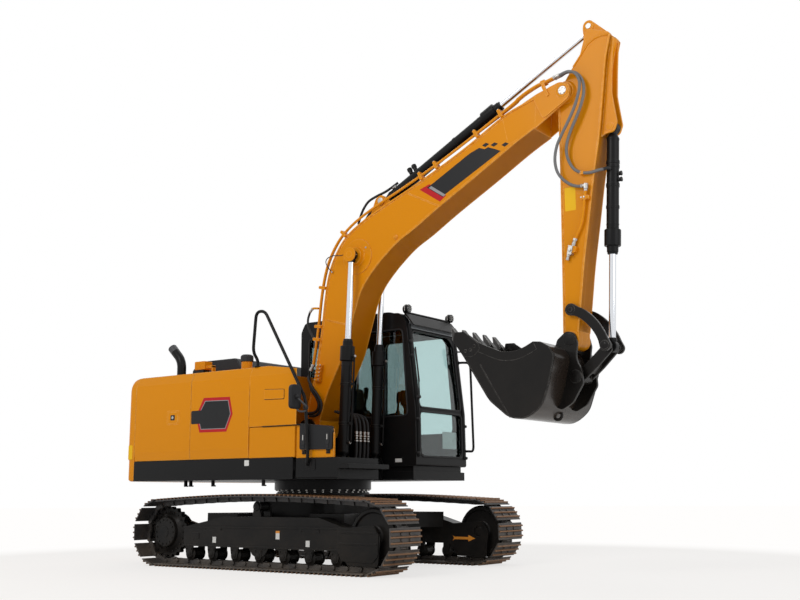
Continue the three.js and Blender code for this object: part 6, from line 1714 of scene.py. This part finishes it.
FLOOR = CAB_FLOOR + 55.3
base = rounded([(-176, FLOOR + 268, 40), (276, FLOOR + 268, 50), (292, FLOOR + 352, 60), (-176, FLOOR + 346, 40)],
    6)
settle(cushion("seat_pad", plate(base, SEAT_Y - 236, SEAT_Y + 236)), "upperstructure",
    ("seat_cushion",))
back = rounded([(-180, FLOOR + 368, 40), (-106, FLOOR + 370, 40), (-204, FLOOR + 926, 50), (-288, FLOOR + 926, 50)],
    6)
settle(cushion("seat_back_pad", plate(back, SEAT_Y - 214, SEAT_Y + 214)), "upperstructure",
    ("seat_back",))
rest_line = rounded([(-294, FLOOR + 998, 30), (-222, FLOOR + 998, 30), (-232, FLOOR + 1160, 36),
    (-302, FLOOR + 1160, 36)], 6)
settle(cushion("headrest_pad", plate(rest_line, SEAT_Y - 120, SEAT_Y + 120), 0.012), "upperstructure")

# %% Seams and controls
inside = Kit("cab_inside", "upperstructure", "cab_plastic")
for side in (RIGHT, LEFT):
    y = SEAT_Y + side * 232
    seam = [(x, y, z) for x, z in rounded([(-180, FLOOR + 272, 40), (280, FLOOR + 272, 50), (298, FLOOR + 360, 60),
        (-180, FLOOR + 352, 40)], 4)]
    inside.put(tube(seam + seam[:1], 4, 6))
    lever_y = SEAT_Y + side * 330
    inside.put(turned((232, lever_y, FLOOR + 560), (0.1, 0, 1), [(0, 52), (14, 48), (28, 36), (40, 38), (54, 26),
        (66, 28), (84, 16)], 24), "rubber_black")
    inside.put(turned((250, lever_y, FLOOR + 730), (0.08, 0, 1), [(0, 12), (10, 24), (60, 27), (100, 23), (126, 28),
        (140, 20), (142, 0)], 24))
for y in (SEAT_Y - 60, SEAT_Y + 60):
    inside.put(tube([(-238, y, FLOOR + 900), (-258, y, FLOOR + 1020)], 8, 8), "bare_steel")
inside.put(block((850, 900), (250, 430), (1760, 1930), 14), soft=6, segments=3)
inside.put(block((846, 851), (262, 418), (1774, 1916), 8), "mirror_face")
inside.put(tube([(880, 300, 1200), (880, 300, 1770)], 18, 12))
inside.put(block((-560, -300), (230, 1190), (FLOOR, 1640), 30), soft=10, segments=3)
inside.put(block((-300, 1030), (232, 1190), (FLOOR, FLOOR + 14), 0), "rubber_black", soft=3)
inside.done()

# %% [markdown]
# ## Pipes, hoses and valves
# Steel pipes follow the boom and end in fittings. Where a line crosses a pin it changes to a hose with a
# loop long enough for the joint's whole swing. Such a hose is one piece that rides on no body. Hoses and
# pipes are tubes through a few points, smoothed into one curve.

# %% Pipes on the boom
def line_at(line, low, high):
    """The part of a line between two heights."""
    return [p for p in line if low <= p[1] <= high]


def hex_fitting(kit, start, axis, finish_name="bare_steel", size=15, length=60):
    """A hose end: hexagon nut, sleeve and a crimped collar."""
    kit.put(turned(start, axis, [(0, size * 1.25), (length * 0.3, size * 1.25)], 6), finish_name, soft=1.5)
    kit.put(turned(start, axis, [(length * 0.28, size * 0.85), (length * 0.45, size * 0.85),
        (length * 0.47, size * 1.12), (length * 0.95, size * 1.12), (length, size)], 16), finish_name)


pipes = Kit("boom_pipes", "boom", "paint_yellow")
LIFTED = ((-374, 42), (-336, 66))
for y, lift in LIFTED:
    run_line = line_at(inset_line(TOP_LINE, lift), 2117 + lift, 4600)
    climb = [(2712, 4690 + lift / 4), (2790, 4740 + lift / 4), (2890, 4790 + lift / 4), (3020, 4836 + lift / 4),
        (3100, 4848 + lift / 4), (3205, 4872 + lift / 4)]
    path = [(x, y, z) for x, z in run_line[::3] + climb]
    pipes.put(tube(path, 14, 14, smooth=3))
    end = path[-1]
    hex_fitting(pipes, end, (0.94, 0, 0.2), size=16, length=70)
    foot = path[0]
    hex_fitting(pipes, (foot[0], foot[1], foot[2] + 4), (-0.5, -0.1, -1), size=16, length=80)
CLAMP_AT = ((172, 2470), (204, 2660), (262, 3080), (560, 3650), (1590, 4122), (1760, 4190), (2330, 4462),
    (2560, 4585))
for x, z in CLAMP_AT:
    near = min(range(1, len(TOP_LINE) - 1), key=lambda i: (TOP_LINE[i][0] - x) ** 2 + (TOP_LINE[i][1] - z) ** 2)
    here = Vector(TOP_LINE[near])
    ahead = (Vector(TOP_LINE[near + 1]) - Vector(TOP_LINE[near - 1])).normalized()
    square = Vector((-ahead.y, ahead.x))
    corners = [here + ahead * a + square * b for a, b in ((-17, -6), (17, -6), (17, 84), (-17, 84))]
    pipes.put(plate(rounded([(*c, 8) for c in corners], 3), -398, -318), soft=3)
    for y in (-388, -356, -324):
        head = here + square * 83
        pipes.put(turned((head.x, y, head.y), (square.x, 0, square.y), [(0, 8), (7, 8), (8, 6)], 6), "bare_steel")
post = rounded([(3080, 4800), (3130, 4700), (3158, 4712), (3120, 4800), (3106, 4860), (3072, 4852)], 3)
pipes.put(plate(post, -392, -374), soft=3)
pipes.put(plate(rounded([(3070, 4836, 8), (3124, 4850, 8), (3116, 4884, 8), (3062, 4870, 8)], 3), -398, -318),
    soft=3)
pipes.put(turned((3092, -388, 4872), (-0.25, 0, 1), [(0, 9), (8, 9), (9, 7)], 6), "bare_steel")
stack = rounded([(118, 2030, 8), (190, 2012, 8), (228, 2206, 8), (154, 2226, 8)], 4)
pipes.put(plate(stack, -392, BOOM_Y - WEB_HALF + 1), soft=4)
for k in range(5):
    z = 2040 + k * 40
    x = 138 + k * 7.5
    pipes.put(block((x - 4, x + 62), (-410, -388), (z - 12, z + 12), 6), soft=4)
    for dx in (2, 54):
        pipes.put(turned((x + dx, -409, z), (0, -1, 0), [(0, 8), (7, 8), (8, 6)], 6), "bare_steel")
pipes.put(tube([(155, -374, 2855), (110, -378, 2860), (72, -380, 2862)], 12, 12))
hex_fitting(pipes, (74, -380, 2862), (-0.7, 0, -0.7), size=14, length=56)
pipes.put(tube([(34, -380, 2822), (6, -380, 2740), (12, -378, 2650), (58, -372, 2560), (112, -368, 2486)], 13, 12,
    smooth=5), "rubber_black")
hex_fitting(pipes, (124, -368, 2462), (-0.45, 0, 1), size=13, length=40)
pipes.put(tube([(585, -470, 3400), (540, -468, 3399), (438, -466, 3412), (338, -440, 3402), (296, -420, 3364),
    (312, -400, 3306), (352, -374, 3250)], 5, 8, smooth=5), "rubber_black")
pipes.put(turned((352, -376, 3252), (0, -1, 0), [(-8, 10), (8, 10), (9, 8)], 6), "bare_steel")
pipes.done()

# %% Hoses that cross a joint
def joint_hose(name, finish_name, paths, bodies, radius):
    """Hoses as one piece that rides on no body. The two bodies are only named in the printed line."""
    material, slot = FINISHES[finish_name]
    whole = bmesh.new()
    whole.loops.layers.uv.verify()
    for path in paths:
        add_shape(whole, tube(path, radius, 14, smooth=6))
    mesh = mesh_of(name, whole)
    mesh.uv_layers[0].name = "run"
    mesh.materials.append(material)
    piece = new_object(name, mesh)
    mesh.shade_smooth()
    mesh.set_sharp_from_angle(angle=math.radians(50))
    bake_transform(piece)
    print(f"{name}: {len(mesh.polygons)} faces, {bodies[0]} to {bodies[1]}")


LOOP_A = [(3268, -374, 4893), (3330, -380, 4905), (3386, -385, 4904), (3454, -388, 4868), (3493, -390, 4792),
    (3496, -390, 4712), (3473, -390, 4624), (3430, -388, 4516), (3357, -386, 4387), (3284, -384, 4270),
    (3225, -380, 4163), (3198, -378, 4037), (3211, -372, 3917), (3258, -360, 3831), (3339, -346, 3758),
    (3410, -338, 3728), (3462, -334, 3722)]
LOOP_B = [(3268, -336, 4898), (3340, -345, 4916), (3420, -352, 4900), (3480, -358, 4850), (3518, -362, 4780),
    (3530, -364, 4700), (3520, -364, 4620), (3485, -362, 4520), (3428, -360, 4405), (3369, -356, 4299),
    (3325, -352, 4190), (3312, -348, 4088), (3333, -342, 3992), (3385, -336, 3905), (3460, -330, 3855)]
joint_hose("arm_hoses", "hose_braid", [LOOP_A, LOOP_B], ("boom", "arm"), 15)
joint_hose("bucket_hose", "hose_braid", [[(3460, -330, 3855), (3547, -322, 3846), (3628, -300, 3862),
    (3672, -285, 3868)]], ("arm", "bucket_cylinder"), 15)
joint_hose("boom_foot_hoses", "rubber_black", [[(16, -376, 2088), (40, -384, 2030), (109, -398, 1941),
    (177, -404, 1873), (226, -404, 1793), (231, -400, 1729), (199, -398, 1667), (140, -396, 1640),
    (60, -396, 1640)], [(-4, -338, 2100), (20, -352, 2020), (80, -392, 1935), (140, -396, 1866), (186, -396, 1790),
    (190, -396, 1735), (160, -396, 1690), (110, -396, 1672), (40, -396, 1668)]], ("boom", "upperstructure"),
    16)
joint_hose("arm_cylinder_hoses", "rubber_black", [[(628, -250, 3790), (660, -250, 3880), (705, -250, 3962),
    (775, -250, 4035), (885, -250, 4076), (1000, -244, 4108), (1090, -232, 4150), (1160, -214, 4196)],
    [(628, -150, 3790), (660, -140, 3876), (705, -120, 3950), (775, -110, 4010), (885, -108, 4050),
    (1000, -108, 4088), (1100, -112, 4150), (1170, -124, 4200)]], ("boom", "arm_cylinder"),
    14)
BELLY = (-285, -220, -145, -80)
lower = [[(642, y, 1350), (640, y, 1250), (624, y + 6, 1150), (588, y + 16, 1060), (540, y + 24, 1010)]
    for y in BELLY]
joint_hose("belly_hoses", "rubber_black", lower, ("boom", "upperstructure"),
    16)

# %% Fittings at the hose ends
ends = Kit("arm_pipes", "arm", "paint_yellow")
hex_fitting(ends, (3450, -335, 3722), (1, 0, 0), size=17, length=50)
ends.put(turned((3500, -335, 3740), (-0.05, 0, -1), [(0, 24), (52, 24), (54, 18), (74, 18)], 10), "bare_steel",
    soft=2)
ends.put(tube([(3497, -334, 3676), (3478, -334, 3580), (3458, -333, 3440), (3432, -330, 3340), (3385, -328, 3245),
    (3362, -326, 3205)], 13, 14, smooth=4))
ends.put(block((3440, 3530), (-345, -297), (3586, 3622), 8), soft=3)
for x in (3452, 3482):
    ends.put(turned((x, -344, 3606), (0, -1, 0), [(0, 9), (8, 9), (9, 7)], 6), "bare_steel")
hex_fitting(ends, (3366, -326, 3212), (-0.36, 0, -1), size=18, length=76)
ends.put(plate(rounded([(3300, 3150, 6), (3346, 3138, 6), (3326, 3052, 6), (3280, 3064, 6)], 3), -352, -297),
    "bare_steel", soft=4)
ends.put(turned((3313, -350, 3100), (0, -1, 0), [(0, 16), (12, 16), (14, 12)], 6), "bare_steel")
ends.put(plate(rounded([(3330, 3150, 4), (3378, 3130, 4), (3362, 3080, 4), (3326, 3070, 4)], 3), -340, -297),
    soft=3)
hex_fitting(ends, (3288, -326, 3064), (-0.3, 0, -1), size=15, length=58)
EDGE_LINE = [(3392, 4975), (3432, 5023), (3495, 5101), (3553, 5166), (3608, 5204), (3656, 5222), (3728, 5228),
    (3799, 5222)]
ends.put(tube([(x, BOOM_Y - ARM_WEB - 3, z) for x, z in EDGE_LINE], 9, 10, smooth=4))
ends.put(block((3253, 3370), (BOOM_Y - ARM_WEB - 1.4, BOOM_Y - ARM_WEB + 1), (3506, 3742), 8), "label_yellow")
ends.put(block((3440, 3480), (-345, -297), (3838, 3872), 8), soft=3)
ends.done()
elbow = Kit("bucket_port", "bucket_cylinder", "rubber_black")
elbow.put(tube([(3668, -288, 3867), (3700, -268, 3876), (3724, -240, 3872)], 17, 14, smooth=4))
for z in (3828, 3768):
    elbow.put(turned((3776, BOOM_Y, z), (1, 0, 0), [(0, 20), (22, 20), (24, 24), (34, 24), (36, 18)], 14),
        "paint_black")
elbow.done()
studs = Kit("arm_cylinder_ports", "arm_cylinder")
lean = Vector((ARM_EAR_PIN[0] - ARM_CYLINDER_FOOT[0], ARM_EAR_PIN[1] - ARM_CYLINDER_FOOT[1])).normalized()
for d in (455, 520):
    base = Vector(ARM_CYLINDER_FOOT) + lean * d + Vector((-lean.y, lean.x)) * 52
    studs.put(turned((base.x, BOOM_Y - 20, base.y), (-lean.y, 0, lean.x),
        [(0, 24), (40, 24), (42, 29), (72, 29), (78, 22)], 16))
for y, d in ((-222, 232), (-118, 236)):
    base = Vector(ARM_CYLINDER_FOOT) + lean * d + Vector((-lean.y, lean.x)) * 44
    hex_fitting(studs, (base.x, y, base.y), (-lean.x - lean.y * 0.3, 0, -lean.y + lean.x * 0.3), size=15, length=60)
studs.done()
manifold = Kit("belly_fittings", "boom", "bare_steel")
for y in BELLY:
    for z, size in ((1345, 22), (1372, 17), (1398, 22), (1422, 16), (1438, 19)):
        manifold.put(turned((642, y, z), (0, 0, 1), [(0, size), (17, size)], 6), soft=2)
    upper = [(642, y, 1452), (636, y, 1540), (590, y * 0.9, 1612), (500, y * 0.8, 1650), (400, y * 0.7 - 40, 1660),
        (300, -180 + (y + 180) * 0.6, 1690)]
    manifold.put(tube(upper, 15, 12, smooth=5), "rubber_black")
manifold.done()

# %% [markdown]
# ## Blank bands
# The machine's stickers carry no words here. A dark band with a red end and stepped squares runs along
# the boom, drawn as thin plates so that its edges stay crisp at any size.

# %% Bands on the boom
bands = Kit("boom_band", "boom")
for side in (RIGHT, LEFT):
    def mark(finish_name, outline, rise):
        """A band on this side's web, standing out by its rise."""
        bands.put(web_plate(outline, side, WEB_HALF - 1, WEB_HALF + rise), finish_name)

    mark("band_red", [(1551, 4012), (1679, 4052), (1894, 3892), (1814, 3836)], 0.9)
    mark("band_dark", [(1650, 4018), (1740, 4060), (2193, 4293), (2311, 4332), (2380, 4305), (2420, 4318),
        (2505, 4281), (2570, 4248), (2190, 4058), (1884, 3906), (1850, 3880)], 1.3)
    mark("band_grey", [(1672, 4010), (1706, 4026), (1888, 3898), (1858, 3884)], 1.7)
    for x, z in ((2392, 4350), (2496, 4333), (2624, 4308)):
        mark("band_dark", [(x - 44, z + 2), (x + 4, z + 22), (x + 44, z - 1), (x - 6, z - 24)], 1.3)
bands.done()

# %% [markdown]
# ## Panes
# The cab's panes are flat or gently bent sheets of glass, and the CAD model has them exactly. They stay
# shown as they are, and only their objects get the glass finish.

# %% Glass on the CAD panes
kept = []
for node, source in frame["nodes"].items():
    if source.hide_render:
        continue
    material, slot = FINISHES["side_glass" if node.startswith("right_window") else "cab_glass"]
    if not source.material_slots:
        source.data.materials.append(None)
    for holder in source.material_slots:
        holder.link = "OBJECT"
        holder.material = material
    kept.append(node)
print("kept as they are:", ", ".join(sorted(kept)))

# %% [markdown]
# ## Camera, floor and light
# The camera stands low at the right front, a little under eye height, and looks up at the boom. The
# floor is a plain pale slab whose far part fades into the white backdrop. The backdrop is white only to
# the camera, to reflections and to glass, and lights the object at a plain level.

# %% Camera
camera = bpy.data.objects.new("camera", bpy.data.cameras.new("camera"))
bpy.context.scene.collection.objects.link(camera)
camera.location = (7.054, -9.405, 0.775)
YAW, PITCH = 0.627, 0.182
camera.rotation_euler = (math.pi / 2 + PITCH, 0.003, YAW)
camera.data.lens = 47.55
camera.data.sensor_width = 36
camera.data.clip_end = 200
bpy.context.scene.camera = camera
print("camera ready")

# %% Floor
def floor_slab():
    """A pale floor that fades to the backdrop's white away from the machine."""
    shape = bmesh.new()
    bmesh.ops.create_circle(shape, cap_ends=True, segments=96, radius=60)
    slab = new_object("floor", mesh_of("floor", shape))
    slab.location.z = -0.0005
    made, tree, shader, place = new_material("floor_pale", Roughness=0.75)
    tone = put_group(tree, "cloudy", place, Colour=(0.88, 0.845, 0.80), Tint=(0.92, 0.89, 0.855), Scale=0.6,
        Amount=0.7)
    feed(tree, shader.inputs["Base Color"], tone.outputs["Colour"])
    glow = add(tree, "Emission", Color=(1.0, 0.99, 0.98))
    far = add_numbered(tree, "VectorMath", {"operation": "LENGTH"}, _0=place)
    share = add(tree, "MapRange", {"interpolation_type": "SMOOTHSTEP"}, Value=far.outputs["Value"], From_Min=2.6,
        From_Max=7.0)
    lifted = maths(tree, "MULTIPLY", add(tree, "LightPath").outputs["Is Camera Ray"], 0.70)
    lifted = maths(tree, "MAXIMUM", lifted, share.outputs[0])
    both = add_numbered(tree, "MixShader", {}, _0=lifted, _1=shader.outputs[0], _2=glow.outputs[0])
    feed(tree, tree.nodes["Material Output"].inputs[0], both.outputs[0])
    slab.data.materials.append(made)
    return slab


floor_slab()

# %% Light
def soft_lamp(name, place, aim, size, power, warmth=(1.0, 1.0, 1.0)):
    """A large soft lamp at a place, aimed at a point."""
    lamp = bpy.data.objects.new(name, bpy.data.lights.new(name, "AREA"))
    bpy.context.scene.collection.objects.link(lamp)
    lamp.data.size = size
    lamp.data.energy = power
    lamp.data.color = warmth
    lamp.location = place
    lamp.rotation_euler = (Vector(aim) - Vector(place)).to_track_quat("-Z", "Y").to_euler()
    return lamp


soft_lamp("key", (-1.0, -11.0, 9.5), (0.3, 0, 2.0), 5.0, 500, (1.0, 0.985, 0.96))
soft_lamp("side", (11.0, -2.0, 6.5), (0.5, 0, 2.0), 6.0, 235, (0.97, 0.985, 1.0))
soft_lamp("over", (-3.0, 5.0, 11.0), (0, 0, 1.5), 7.0, 170)

world = bpy.data.worlds.new("backdrop")
bpy.context.scene.world = world
world.use_nodes = True
tree = world.node_tree
tree.nodes.clear()
seen = add(tree, "Background", Color=WHITE, Strength=1.0)
lit = add(tree, "Background", Color=(0.97, 0.98, 1.0), Strength=0.42)
ray = add(tree, "LightPath").outputs
shown = maths(tree, "MAXIMUM", ray["Is Camera Ray"], ray["Is Glossy Ray"])
shown = maths(tree, "MAXIMUM", shown, ray["Is Transmission Ray"])
both = add_numbered(tree, "MixShader", {}, _0=shown, _1=lit.outputs[0], _2=seen.outputs[0])
feed(tree, add(tree, "OutputWorld").inputs[0], both.outputs[0])
bpy.context.scene.view_settings.view_transform = "Standard"
